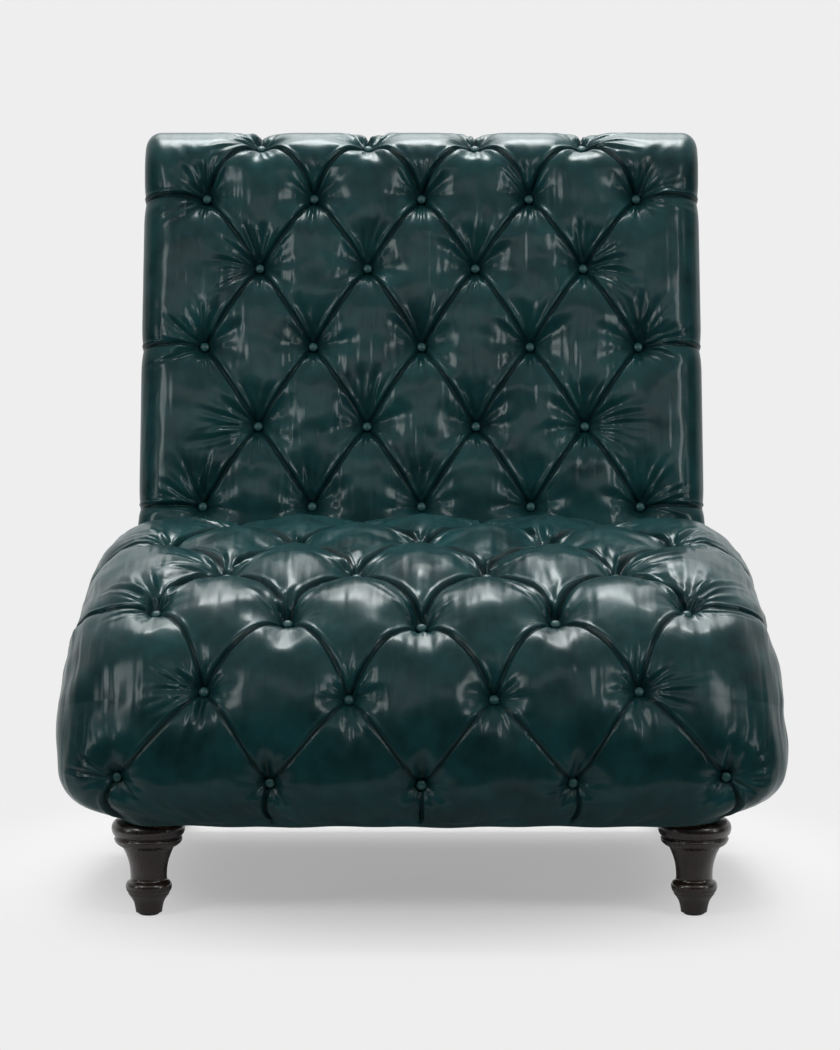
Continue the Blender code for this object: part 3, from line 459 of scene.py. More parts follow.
class Quilt:
    """One tufted surface, with places on it by column q and row v."""

    def __init__(self, surface, track, knots, pitches, bows, half, radius, pulls, sizes):
        self.surface, self.length = surface, track.length
        self.knots, self.pitches, self.bows = knots, pitches, bows
        self.levels = np.arange(len(knots))
        self.half, self.radius, self.pulls, self.sizes = half, radius, pulls, sizes
        self.rows = {row: (-1.5, -0.5, 0.5, 1.5) if row % 2 == 0 else (-2.0, -1.0, 0.0, 1.0, 2.0) for row in pulls}

    def place(self, q, v):
        inner = min(max(q, -2.0), 2.0)
        pitch = np.interp(v, self.levels, self.pitches)
        s = np.interp(v, self.levels, self.knots) + np.interp(v, self.levels, self.bows) * (inner / 2) ** 2
        edge = self.half(s) + self.radius(s) * (math.pi / 2 - 1)
        return np.array([inner * pitch + (q - inner) * (edge - 2 * pitch), s])

    def buttons(self):
        return [(q, row, *self.place(q, row), self.pulls[row]) for row in self.rows for q in self.rows[row]]

    def normals(self, u, s):
        """Outward normals, from small steps along u and s."""
        low_s, high_s = (np.clip(s + step, 0, self.length) for step in (-NUDGE, NUDGE))
        across_step = self.surface(u + NUDGE, s) - self.surface(u - NUDGE, s)
        normal = np.cross(across_step, self.surface(u, high_s) - self.surface(u, low_s))
        size = np.linalg.norm(normal, axis=-1, keepdims=True)
        side = np.zeros_like(normal)
        side[..., 0] = np.sign(u)
        return np.where(size > 1e-9, normal / np.maximum(size, 1e-12), side)

    def raised(self, u, s, height):
        """Points of the surface, moved out by a height."""
        return self.surface(u, s) + self.normals(u, s) * height[..., None]


seat = Quilt(
    seat_surface, seat_track,
    np.array(SEAT_ROW_AT) * seat_track.length,
    np.array(SEAT_ROW_PITCH) * SEAT_WIDTH,
    np.array(SEAT_ROW_BOW) * seat_track.length,
    seat_half, seat_radius, SEAT_PULL, SEAT_SIZES,
)
back = Quilt(
    back_surface, back_track,
    [0.0] + [place * front_length for place in BACK_ROW_AT] + [roll_end],
    [BACK_PITCH * BACK_WIDTH] * 8,
    [0.0] * 8,
    back_half, back_radius, BACK_PULL, BACK_SIZES,
)
print(len(seat.buttons()), "buttons on the seat,", len(back.buttons()), "on the back")


# %% Folds
def fold(start, end, depths, bulge, crisp, swell):
    """A fold as a line of points, bulging upwards, with its depth at its start, middle and end."""
    t = np.linspace(0, 1, 13)
    step = end - start
    up = np.array([-step[1], step[0]]) / np.linalg.norm(step)
    up = up if up[1] >= 0 else -up
    line = start + t[:, None] * step + (bulge * 4 * t * (1 - t))[:, None] * up
    return {"line": line, "up": up, "deep": depths, "crisp": crisp, "swell": swell}


def diamond_folds(quilt, shapes):
    """Folds up from each row to the next, shaped row by row."""
    folds = []
    for row in list(quilt.rows)[:-1]:
        bulge, middle, ends_deep, crisp, swell = shapes[row]
        for q in quilt.rows[row]:
            for other in quilt.rows.get(row + 1, ()):
                if abs(q - other) < 0.6:
                    a, b = quilt.pulls[row], quilt.pulls[row + 1]
                    ends = quilt.place(q, row), quilt.place(other, row + 1)
                    depths = ends_deep * a, middle * (a + b) / 2, ends_deep * b
                    folds.append(fold(*ends, depths, bulge, crisp, swell))
    return folds


def side_folds(quilt, far, first):
    """Folds from the end buttons of the rows of five out to the sides, above a first row."""
    folds = []
    for row, columns in quilt.rows.items():
        if len(columns) == 5 and row > first:
            for q in (-2.0, 2.0):
                pull = quilt.pulls[row]
                ends = quilt.place(q, row), quilt.place(math.copysign(far, q), row)
                folds.append(fold(*ends, (0.40 * pull, 0.12 * pull, 0.0015), 0.0, 0.8, 0.035))
    return folds


def straight_folds(quilt, row, level, middle, end):
    """Pleats from a row's buttons straight up or down to a level."""
    pull = quilt.pulls[row]
    return [
        fold(quilt.place(q, row), quilt.place(q, level), (0.4 * pull, middle, end), 0.0, 0.9, 0.040)
        for q in quilt.rows[row]
    ]


# Of the folds above each row: bulge, depth half way and at the ends as shares of the pull, crispness, swell
SEAT_SHAPES = {
    1: (0.002, 0.05, 0.30, 0.5, 0.032),
    2: (0.010, 0.13, 0.45, 0.7, 0.048),
    3: (0.016, 0.50, 0.60, 1.0, 0.075),
    4: (0.014, 0.60, 0.65, 1.0, 0.080),
    5: (0.010, 0.60, 0.65, 1.0, 0.080),
}
BACK_SHAPES = {row: (0.000, 0.06, 0.34, 1.0, 0.026) for row in (1, 2, 3, 4)}
BACK_SHAPES[5] = (0.013, 0.12, 0.40, 1.0, 0.034)
seat.folds = diamond_folds(seat, SEAT_SHAPES) + side_folds(seat, 3.2, 1)
seat.folds += straight_folds(seat, 1, 0, 0.006, 0.003) + straight_folds(seat, 6, 7, 0.008, 0.008)
back.folds = diamond_folds(back, BACK_SHAPES) + side_folds(back, 3.1, 0)
back.folds += straight_folds(back, 6, 6.75, 0.008, 0.001)
print(len(seat.folds), "folds on the seat,", len(back.folds), "on the back")

# %% [markdown]
# Pillows, folds and wrinkles
#
# Between the folds the padding swells into a pillow, and each fold is a crisp line with one lip lying over the
# other. Round every button the spare leather gathers in short wrinkles. All of this is one height over the sheet,
# built up line by line in (u, s), which is quick, exact and the same on every run.


# %% Heights
GROOVE_WIDE, LIP_AT, LIP_WIDE, SHADE_WIDE = 0.0019, 0.0050, 0.0024, 0.0028
END_STEEPNESS, LINE_FADE = 2.8, 0.08
BLEND_SIZE, BLEND_POWER = 0.01, 4


def line_gap(u, s, line):
    """Distance to a line of points, and the share along it."""
    best = np.full(u.shape, 1e9)
    along = np.zeros(u.shape)
    for k, (a, b) in enumerate(zip(line, line[1:])):
        step = b - a
        t = np.clip(((u - a[0]) * step[0] + (s - a[1]) * step[1]) / (step @ step), 0, 1)
        gap = np.hypot(u - a[0] - t * step[0], s - a[1] - t * step[1])
        nearer = gap < best
        best = np.where(nearer, gap, best)
        along = np.where(nearer, (k + t) / (len(line) - 1), along)
    return best, along


def fold_heights(u, s, quilt):
    """(how deep the pillows are drawn in, crisp lines on top, how near a fold or a button's dimple: 0 to 1, where
    shade is painted into the colour)
    """
    power, dimple, line_depth = quilt.sizes
    deep, crisp, near = (np.zeros(u.shape) for _ in range(3))
    for item in quilt.folds:
        line, up, swell = item["line"], item["up"], item["swell"]
        low, high = line.min(axis=0) - swell, line.max(axis=0) + swell
        here = (u > low[0]) & (u < high[0]) & (s > low[1]) & (s < high[1])
        if not here.any():
            continue
        gap, t = line_gap(u[here], s[here], line)
        start, middle, end = item["deep"]
        depth = middle + (np.where(t < 0.5, start, end) - middle) * np.abs(2 * t - 1) ** END_STEEPNESS
        deep[here] += (depth * np.clip(1 - gap / swell, 0, 1) ** power / BLEND_SIZE) ** BLEND_POWER
        middle_at = np.stack([np.interp(t, np.linspace(0, 1, len(line)), line[:, i]) for i in (0, 1)])
        above = np.sign((u[here] - middle_at[0]) * up[0] + (s[here] - middle_at[1]) * up[1]) * gap
        fade = np.clip(np.minimum(t, 1 - t) / LINE_FADE, 0, 1) ** 0.5
        groove = -line_depth * np.exp(-((gap / GROOVE_WIDE) ** 2))
        lip = 0.5 * line_depth * np.exp(-(((above - LIP_AT) / LIP_WIDE) ** 2))
        crisp[here] += (groove + lip) * fade * item["crisp"]
        near[here] = np.maximum(near[here], np.exp(-((gap / SHADE_WIDE) ** 2)) * fade)
    for q, row, bu, bs, pull in quilt.buttons():
        gap = np.hypot(u - bu, s - bs)
        here = gap < 1.8 * dimple
        gap, angle = gap[here], np.arctan2(s[here] - bs, u[here] - bu)
        reach = dimple * (1 + 0.25 * np.clip(np.sin(angle), 0, 1) ** 3)
        own = np.random.default_rng(100 * row + int(2 * q) + 50)
        for lobes in range(4, 11):
            reach *= 1 + own.uniform(0.01, 0.04) * np.cos(lobes * angle + own.uniform(0, 6.28))
        deep[here] += (pull * np.clip(1 - gap / reach, 0, 1) ** 3.0 / BLEND_SIZE) ** BLEND_POWER
        # Painted shade in the dimple: the nearness to the button later darkens the leather's colour
        near[here] = np.maximum(near[here], np.exp(-((gap / (0.22 * reach)) ** 2)))
    return BLEND_SIZE * deep ** (1 / BLEND_POWER), crisp, near


# %% Wrinkles
def wrinkle(u, s, height, start, angle, first, length, width, size, bend):
    """One wrinkle that leaves a point at an angle: a groove between two small ridges."""
    du, ds = u - start[0], s - start[1]
    here = np.hypot(du, ds) < first + length
    du, ds = du[here], ds[here]
    p = du * math.cos(angle) + ds * math.sin(angle)
    c = -du * math.sin(angle) + ds * math.cos(angle) - bend * p**2
    t = np.clip((p - first) / length, 0, 1)
    fade = np.clip((p - first) / 0.012, 0, 1) * (1 - t) ** 1.3
    wide = width * (0.7 + 0.9 * t)
    groove = -np.exp(-((np.abs(c) / wide) ** 1.4))
    ridges = 0.8 * np.exp(-(((np.abs(c) - 1.9 * wide) / (0.9 * wide)) ** 2))
    height[here] += size * fade * (groove + ridges)


def fan(u, s, height, start, middle, spread, count, length, size, width):
    """A fan of wrinkles round one direction, in degrees."""
    for k in range(count):
        angle = middle + spread * ((k + 0.5) / count * 2 - 1) + rng.normal(0, spread / count * 0.45)
        wrinkle(
            u, s, height, start, math.radians(angle), rng.uniform(0.006, 0.011), length * rng.uniform(0.55, 1.15),
            width * rng.uniform(0.75, 1.35), size * rng.uniform(0.5, 1.2), rng.normal(0, 2.2),
        )


# Each fan: its direction and spread in degrees, how many, how long, how high and how wide
PILLOW_FANS = (
    (90, 27, 6, 0.080, 0.0030, 0.0036), (270, 8, 2, 0.056, 0.0030, 0.0024), (270, 36, 3, 0.028, 0.0015, 0.0022),
)
ROLL_FANS = ((90, 46, 7, 0.060, 0.0036, 0.0034), (270, 12, 2, 0.036, 0.0028, 0.0026))
BACK_FANS = {row: ROLL_FANS if row == 6 else PILLOW_FANS for row in BACK_PULL}
SEAT_FANS = {
    1: ((90, 4, 1, 0.110, 0.0048, 0.0046), (90, 30, 4, 0.040, 0.0016, 0.0024), (270, 42, 4, 0.028, 0.0018, 0.0022)),
    2: ((88, 17, 2, 0.068, 0.0046, 0.0044), (270, 20, 2, 0.080, 0.0050, 0.0050), (90, 34, 4, 0.04, 0.0014, 0.0022)),
    3: ((90, 38, 7, 0.092, 0.0064, 0.0046), (270, 48, 6, 0.028, 0.0030, 0.0028)),
    4: ((90, 40, 7, 0.084, 0.0060, 0.0046), (270, 46, 5, 0.026, 0.0024, 0.0026)),
    5: ((90, 40, 7, 0.070, 0.0050, 0.0042), (270, 40, 4, 0.026, 0.0020, 0.0024)),
    6: ((90, 30, 4, 0.040, 0.0024, 0.0028), (270, 34, 4, 0.040, 0.0020, 0.0024)),
}
seat.fans, seat.side_fan = SEAT_FANS, (38, 6, 0.085, 0.0024, 0.0032)
back.fans, back.side_fan = BACK_FANS, (38, 7, 0.085, 0.0024, 0.0030)
WAVES, SHORT_WAVE, LONG_WAVE = 14, 0.035, 0.13


def wrinkled(u, s, quilt):
    """All wrinkles of one cover. The end buttons also have long ones out to the side."""
    height = np.zeros(u.shape)
    for q, row, bu, bs, pull in quilt.buttons():
        for middle, spread, count, length, size, width in quilt.fans[row]:
            longer, higher = rng.uniform(0.7, 1.2), rng.uniform(0.65, 1.35)
            fan(u, s, height, (bu, bs), middle, spread, count, length * longer, size * higher, width)
        if abs(q) >= 1.5:
            fan(u, s, height, (bu, bs), 0 if q > 0 else 180, *quilt.side_fan)
    return height


def unevenness(u, s, size):
    """Slow waves that keep the pillows from being all alike."""
    total = np.zeros(u.shape)
    for _ in range(WAVES):
        angle = rng.uniform(0, math.pi)
        length = rng.uniform(SHORT_WAVE, LONG_WAVE)
        wave = 2 * math.pi / length * (u * math.cos(angle) + s * math.sin(angle))
        total += np.sin(wave + rng.uniform(0, 6.28)) * length / LONG_WAVE
    return size * total / 3


def streaks(u, s, wide, tall, size):
    """Random upright waves: soft noise on a grid of tall, narrow cells."""
    a, b = (u - u.min()) / wide, (s - s.min()) / tall
    values = rng.normal(0, 1, (int(b.max()) + 2, int(a.max()) + 2))
    i, j = a.astype(int), b.astype(int)
    a, b = (x * x * (3 - 2 * x) for x in (a - i, b - j))
    low = values[j, i] * (1 - a) + values[j, i + 1] * a
    high = values[j + 1, i] * (1 - a) + values[j + 1, i + 1] * a
    return size * (low * (1 - b) + high * b)


# %% [markdown]
# Letting the leather settle
#
# Real leather is cut a little too large and drawn down at the buttons, so it buckles in its own way round each of
# them. Blender's Cloth does that here: a coarse sheet is held at the buttons and along its edges, grown by a few
# hundredths and pushed up from inside. Only how far it rises or sinks is kept, as one more height, because the fine
# folds need far smaller squares than a simulation can take.


# %% Grids
def steps(*stops):
    """Numbers from stop to stop, each span cut into pieces of about its own size."""
    parts = [[stops[0]]]
    for low, size, high in zip(stops[0::2], stops[1::2], stops[2::2]):
        count = max(1, round((high - low) / size))
        parts.append(np.linspace(low, high, count + 1)[1:])
    return np.concatenate(parts)


def grid_faces(rows, columns, keep=None):
    index = np.arange(rows * columns).reshape(rows, columns)
    quads = np.stack([index[:-1, :-1], index[:-1, 1:], index[1:, 1:], index[1:, :-1]], axis=-1)
    if keep is not None:
        quads = quads[keep]
    return quads.reshape(-1, 4)


# %% Cloth
CLOTH_CELL, CLOTH_FRAMES = 0.006, 16
CLOTH_STIFFNESS = {"tension": 25, "compression": 25, "shear": 12, "bending": 0.4}
CLOTH_DAMPING = {"tension": 12, "compression": 12, "shear": 10, "bending": 2}
CLOTH_BODY = {"quality": 6, "mass": 0.25, "air_damping": 4, "pin_stiffness": 1.0, "use_pressure": True}


def cloth_run(points, held, grow, push):
    """The points of a sheet after the simulation. Held is true where a point may not move."""
    item = built("cloth_sheet", points.reshape(-1, 3).tolist(), grid_faces(*points.shape[:2]).tolist())
    pins = item.vertex_groups.new(name="held")
    pins.add(np.flatnonzero(held.ravel()).tolist(), 1.0, "REPLACE")
    cloth = item.modifiers.new("cloth", "CLOTH")
    now = cloth.settings
    for name, value in CLOTH_STIFFNESS.items():
        setattr(now, name + "_stiffness", value)
        setattr(now, name + "_damping", CLOTH_DAMPING[name])
    for name, value in CLOTH_BODY.items():
        setattr(now, name, value)
    now.vertex_group_mass = "held"
    now.shrink_min = now.shrink_max = -grow
    now.uniform_pressure_force = push
    now.effector_weights.gravity = 0
    cloth.collision_settings.use_collision = False
    cloth.point_cache.frame_end = CLOTH_FRAMES
    for moment in range(1, CLOTH_FRAMES + 1):
        bpy.context.scene.frame_set(moment)
    moved_points = np.empty(points.size)
    graph = bpy.context.evaluated_depsgraph_get()
    item.evaluated_get(graph).data.vertices.foreach_get("co", moved_points)
    bpy.data.objects.remove(item, do_unlink=True)
    bpy.context.scene.frame_set(1)
    return moved_points.reshape(points.shape)


# %% Rise and fall
HELD_RADIUS = 0.008
RIM_HELD, RIM_SOFT = 0.012, 0.05
RIPPLE_FROM, RIPPLE_TO = 0.03, 0.075
PADDING_FROM = 0.30


def blurred(values, times):
    """Each point mixed with its four neighbours, so many times."""
    for _ in range(times):
        for axis in (0, 1):
            sides = np.roll(values, 1, axis) + np.roll(values, -1, axis)
            values = 0.5 * values + 0.25 * sides
    return values


class Settled:
    """How far the simulated leather rises, at any (u, s). It is zero where no simulation ran."""

    def __init__(self, quilt, half, low, top, grow, push, slow, far_ripple, cap):
        self.half, self.low = half, low
        columns, rows = steps(-half, CLOTH_CELL, half), steps(low, CLOTH_CELL, top)
        self.cell = (columns[1] - columns[0], rows[1] - rows[0])
        self.rise = np.zeros((len(rows), len(columns)))
        u, s = np.meshgrid(columns, rows)
        normal = quilt.normals(u, s)
        start = quilt.surface(u, s) - normal * fold_heights(u, s, quilt)[0][..., None]
        nearest = np.min([np.hypot(u - b[2], s - b[3]) for b in quilt.buttons()], axis=0)
        held = nearest < HELD_RADIUS
        held[[0, -1], :] = True
        held[:, [0, -1]] = True
        rise = ((cloth_run(start, held, grow, push) - start) * normal).sum(axis=-1)
        wide = blurred(rise, 16)
        ripple = blurred(rise, 1) - wide
        rise = slow * wide + ripple * np.interp(nearest, (RIPPLE_FROM, RIPPLE_TO), (1.0, far_ripple))
        rim = np.minimum(half - np.abs(u), np.minimum(s - low, top - s))
        self.rise = np.clip(rise, -cap, cap) * np.clip((rim - RIM_HELD) / RIM_SOFT, 0, 1)
        print("settled", self.rise.size, "points, from", self.rise.min().round(4), "to", self.rise.max().round(4))

    def at(self, u, s):
        """Smooth weights over four by four points."""
        a, b = (u + self.half) / self.cell[0], (s - self.low) / self.cell[1]
        inside = (a >= 1) & (a < self.rise.shape[1] - 3) & (b >= 1) & (b < self.rise.shape[0] - 3)
        i, j = np.where(inside, a, 1).astype(int), np.where(inside, b, 1).astype(int)
        shares = []
        for t in (np.where(inside, a, 1) - i, np.where(inside, b, 1) - j):
            shares.append(((1 - t) ** 3, 3 * t**3 - 6 * t**2 + 4, -3 * t**3 + 3 * t**2 + 3 * t + 1, t**3))
        total = np.zeros(u.shape)
        for y in range(4):
            for x in range(4):
                total += shares[0][x] * shares[1][y] * self.rise[j + y - 1, i + x - 1]
        return total / 36 * inside


seat.settled = Settled(
    seat, half=SEAT_WIDTH / 2 + 0.12, low=0.0, top=seat_track.length,
    grow=0.04, push=4.0, slow=0.5, far_ripple=0.30, cap=0.008,
)
back.settled = Settled(
    back, half=BACK_WIDTH / 2 + 0.02, low=PADDING_FROM, top=roll_end,
    grow=0.03, push=3.0, slow=0.20, far_ripple=0.15, cap=0.003,
)

# %% [markdown]
# Sewing the leather
#
# Each cover is a grid of small squares, under two millimetres wide where it shows, pushed in or out by the height.
# The grid carries its u and s as a UV map, how near each point is to a fold or a button's dimple, where shade is
# painted into the colour, and which way the nearest button lies, so that the leather's grain can gather towards the
# buttons.


# %% The sheet as a mesh
FINE = 0.0017


def grid_piece(name, points, quads, material):
    """A smooth mesh of the points that the squares use, and which points those are."""
    used, quads = np.unique(quads, return_inverse=True)
    item = built(name, points.reshape(-1, 3)[used].tolist(), quads.reshape(-1, 4).tolist(), material)
    item.data.shade_smooth()
    return item, used


def leather_piece(name, points, quads, u, s, near, quilt):
    """Leather with u and s as UV, the nearness to folds for painted shade, and the direction of the nearest button.
    """
    item, used = grid_piece(name, points, quads, LEATHER)
    mesh = item.data
    lie = np.stack([u.ravel(), s.ravel()], axis=1)[used]
    gap = np.full(len(lie), 1e9)
    towards = np.zeros((len(lie), 3))
    for button in quilt.buttons():
        offset = lie - np.array(button[2:4])
        size = np.hypot(*offset.T)
        nearer = size < gap
        gap = np.where(nearer, size, gap)
        towards[nearer, :2] = offset[nearer] / np.maximum(size[nearer], 1e-6)[:, None]
    towards[:, 2] = gap
    mesh.attributes.new("fold", "FLOAT", "POINT").data.foreach_set("value", near.ravel()[used].astype(np.float32))
    mesh.attributes.new("fan", "FLOAT_VECTOR", "POINT").data.foreach_set("vector", towards.ravel().astype(np.float32))
    loops = np.empty(len(mesh.loops), np.int32)
    mesh.loops.foreach_get("vertex_index", loops)
    mesh.uv_layers.new(name="sheet").data.foreach_set("uv", lie[loops].ravel().astype(np.float32))
    print(name, len(mesh.vertices), "points")
    return item


# %% Leather
LEATHER_DARK, LEATHER_LIGHT = (0.0027, 0.0118, 0.0134), (0.0078, 0.0445, 0.0478)
# Painted shade: the near black-green that the leather's colour turns to in folds and button dimples, where shade
# falls
LEATHER_PAINTED_SHADE = (0.0012, 0.006, 0.007, 1.0)


def leather_look():
    look = Look(
        "leather", 0.3, Specular_IOR_Level=0.095, Specular_Tint=(0.75, 1.0, 1.0, 1.0), Coat_Roughness=0.18,
        Coat_Tint=(0.85, 1.0, 1.0, 1.0),
    )
    sheet = look.node("UVMap", uv_map="sheet")
    fold_near = look.node("Attribute", output=2, attribute_name="fold")
    away = look.node("Attribute", output=1, attribute_name="fan")
    cloud = look.noise(sheet, 14.0, 4.0)
    patch = look.noise(sheet, 60.0, 3.0)
    gap = look.node("SeparateXYZ", {0: away}, 2)
    near_button = look.smooth(gap, 0.012, 0.056, 1.0, 0.0)
    tone = cloud * 0.7 + patch * 0.3 + near_button * 0.06
    shade = look.ramp(tone, (0.29, LEATHER_DARK), (0.74, LEATHER_LIGHT))
    # Painted shade: near folds and in the buttons' dimples the colour is mixed towards a near black-green, for the
    # shade that falls there
    painted_shade_mix = {0: fold_near * 0.8, 6: shade, 7: LEATHER_PAINTED_SHADE}
    look.set(Base_Color=look.node("Mix", painted_shade_mix, 2, data_type="RGBA"))
    streak = look.noise(look.stretched(sheet, (120.0, 15.0, 1.0)), 1.0, 3.0, 0.6)
    look.set(Roughness=look.ramp(streak * 0.5 + patch * 0.5, (0.3, 0.26), (0.7, 0.40)) + fold_near * 0.15)
    look.set(Coat_Weight=(1.0 - fold_near * 0.6) * 0.22)
    flat = look.vector("MULTIPLY", away, (5.0, 5.0, 0.0))
    slide = look.vector("DOT_PRODUCT", sheet, (7.0, 5.0, 0.0), 1)
    depth = look.node("CombineXYZ", {2: slide + gap * 12})
    around = look.vector("ADD", flat, depth)
    gather = look.noise(around, 1.6, 3.0, 0.55) * near_button
    grain = look.node("TexVoronoi", {"Vector": sheet, "Scale": 620.0}, feature="DISTANCE_TO_EDGE")
    pores = look.noise(sheet, 900.0, 2.0)
    first = look.bump(streak, 0.4, 0.0012)
    second = look.bump(gather, 0.5, 0.0030, first)
    third = look.bump(grain * 0.6 + pores * 0.4, 0.12, 0.0005, second)
    look.set(Normal=third)
    return look.material


LEATHER = leather_look()


# %% Seat leather
HEM_SOFT = 0.006
TUCK_CENTRE = front_y + 0.27
REAR_RINGS = (0.985, 0.95, 0.85, 0.7)


def widened(inner, rows, beyond, side):
    """u and s of a grid: inner columns, and side columns that reach a row's own distance beyond them."""
    out = inner[-1] + beyond[:, None] * side
    u = np.concatenate([-out[:, ::-1], np.repeat(inner[None], len(rows), axis=0), out], axis=1)
    return u, np.repeat(rows[:, None], u.shape[1], axis=1)


def tufted(u, s, quilt):
    """The height over the sheet, and how near each point is to a fold."""
    deep, crisp, near = fold_heights(u, s, quilt)
    return crisp - deep + wrinkled(u, s, quilt) + quilt.settled.at(u, s), near


def seat_leather():
    edge = SEAT_WIDTH / 2 + SEAT_EDGE * (math.pi / 2 - 1)
    rows = steps(0.0, FINE, seat_track.length)
    beyond = seat_reach(rows)
    beyond = beyond - across(np.full(len(rows), edge), seat_half(rows), seat_radius(rows), SEAT_CROWN)[1]
    u, s = widened(steps(-edge, FINE, edge), rows, beyond, (np.arange(1, 37) / 36) ** 1.25)
    height, near = tufted(u, s, seat)
    height += unevenness(u, s, 0.0016) + streaks(u, s, 0.007, 0.060, 0.0003)
    rim = edge + beyond[:, None] * 0.9 - np.abs(u)
    height *= np.clip(s / HEM_SOFT, 0, 1) * np.clip(rim / RIM_SOFT, 0, 1)
    points = seat.raised(u, s, height)
    hem = points[0].copy()
    hem[:, 2] -= 0.0018 + 0.0012 * np.sin(u[0] * 41) * np.sin(u[0] * 17 + 1)
    points[0] = hem
    inward = np.stack([-hem[:, 0], TUCK_CENTRE - hem[:, 1], np.zeros(len(hem))], axis=1)
    inward /= np.linalg.norm(inward, axis=1)[:, None]
    tucks = [hem + inward * 0.018 + [0, 0, 0.0015], hem + inward * 0.002 - [0, 0, 0.0008]]
    middle = np.array([0.0, *(seat_end + pole) / 2])
    rear = [middle + (points[-1] - middle) * size + [0, 0.0008, 0] for size in REAR_RINGS]
    points = np.concatenate([np.array(tucks), points, np.array(rear)])
    u, s, near = (np.concatenate([a[:1]] * len(tucks) + [a] + [a[-1:]] * len(rear)) for a in (u, s, near))
    return leather_piece("seat_leather", points, grid_faces(*u.shape), u, s, near, seat)


seat_piece = seat_leather()


# %% Back leather
CALM_EDGE = 0.08
PANEL_OPENING = 0.352


def back_leather():
    edge = BACK_WIDTH / 2 + BACK_EDGE * (math.pi / 2 - 1)
    rows = steps(0.0, 0.010, 0.33, FINE, roll_end, 0.012, back_track.length)
    beyond = ROLL - across(np.full(len(rows), edge), BACK_WIDTH / 2, back_radius(rows), 0.0)[1]
    u, s = widened(steps(-edge, FINE, edge), rows, beyond, np.arange(1, 9) / 8)
    height, near = tufted(u, s, back)
    calm = np.clip((edge - np.abs(u)) / CALM_EDGE, 0, 1) * np.clip((roll_start + 0.03 - s) / CALM_EDGE, 0, 1)
    height += (unevenness(u, s, 0.0012) + streaks(u, s, 0.006, 0.055, 0.0003)) * calm
    height *= np.clip((s - PADDING_FROM) / 0.04, 0, 1)
    points = back.raised(u, s, height)
    rear = (rows > roll_end + 0.004)[:, None] & (np.abs(points[..., 0]) < PANEL_OPENING)
    keep = ~(rear[:-1, :-1] & rear[1:, 1:] & rear[:-1, 1:] & rear[1:, :-1])
    return leather_piece("back_leather", points, grid_faces(*u.shape, keep), u, s, near, back)


back_piece = back_leather()

# %% [markdown]
# Buttons
#
# Every button is a small metal mould covered in the same leather. All of them are one shape, repeated at the buttons'
# places and turned to face along the leather's normal: a job for Geometry Nodes. The result is made into plain mesh.


# %% One button
def turned(name, profile, sides, material):
    """A lathe shape about Z from (radius, height) points, closed at both ends."""
    shape = bmesh.new()
    rings = []
    angles = [2 * math.pi * k / sides for k in range(sides)]
    for radius, height in profile:
        rings.append([shape.verts.new((radius * math.cos(a), radius * math.sin(a), height)) for a in angles])
    for low, high in zip(rings, rings[1:]):
        for k in range(sides):
            shape.faces.new((low[k], low[(k + 1) % sides], high[(k + 1) % sides], high[k]))
    for ring in (rings[0], rings[-1]):
        shape.faces.new(ring)
    bmesh.ops.recalc_face_normals(shape, faces=shape.faces[:])
    mesh = bpy.data.meshes.new(name)
    shape.to_mesh(mesh)
    shape.free()
    mesh.shade_smooth()
    mesh.materials.append(material)
    return placed(name, mesh)


def button_look():
    look = Look("button_leather", 0.4, Specular_IOR_Level=0.35)
    place = look.place()
    tone = look.noise(place, 160.0, 3.0)
    look.set(Base_Color=look.tones(tone, (0.008, 0.044, 0.045), (0.014, 0.064, 0.065)))
    look.set(Roughness=look.tones(tone, 0.36, 0.50))
    look.set(Normal=look.bump(look.noise(place, 900.0, 3.0), 0.2, 0.0005))
    return look.material


BUTTON_LEATHER = button_look()
BUTTON_PROFILE = (
    (0.0050, -0.0030), (0.0060, -0.0018), (0.0063, -0.0004), (0.0059, 0.0009), (0.0048, 0.0021), (0.0031, 0.0029),
    (0.0011, 0.0033),
)
BUTTON_SINK = 0.68
button_shape = turned("button_shape", BUTTON_PROFILE, 28, BUTTON_LEATHER)
print("button", 2000 * max(radius for radius, height in BUTTON_PROFILE), "mm wide")


# %% Their places
def button_places(quilt):
    """Points a share of the pull below the sheet, and the sheet's normals there."""
    u, s, pull = np.array([button[2:] for button in quilt.buttons()]).T
    return quilt.raised(u, s, -BUTTON_SINK * pull), quilt.normals(u, s)


(seat_spots, seat_facing), (back_spots, back_facing) = (button_places(quilt) for quilt in (seat, back))
spots = bpy.data.meshes.new("button_spots")
spots.from_pydata(np.vstack([seat_spots, back_spots]).tolist(), [], [])
facing = np.vstack([seat_facing, back_facing]).astype(np.float32)
spots.attributes.new("facing", "FLOAT_VECTOR", "POINT").data.foreach_set("vector", facing.ravel())
buttons_piece = placed("leather_buttons", spots)
print(len(spots.vertices), "buttons")


# %% Geometry Nodes
def made_plain(item):
    """Turns an object with modifiers into plain mesh."""
    graph = bpy.context.evaluated_depsgraph_get()
    mesh = bpy.data.meshes.new_from_object(item.evaluated_get(graph))
    item.modifiers.clear()
    item.data = mesh
    return item


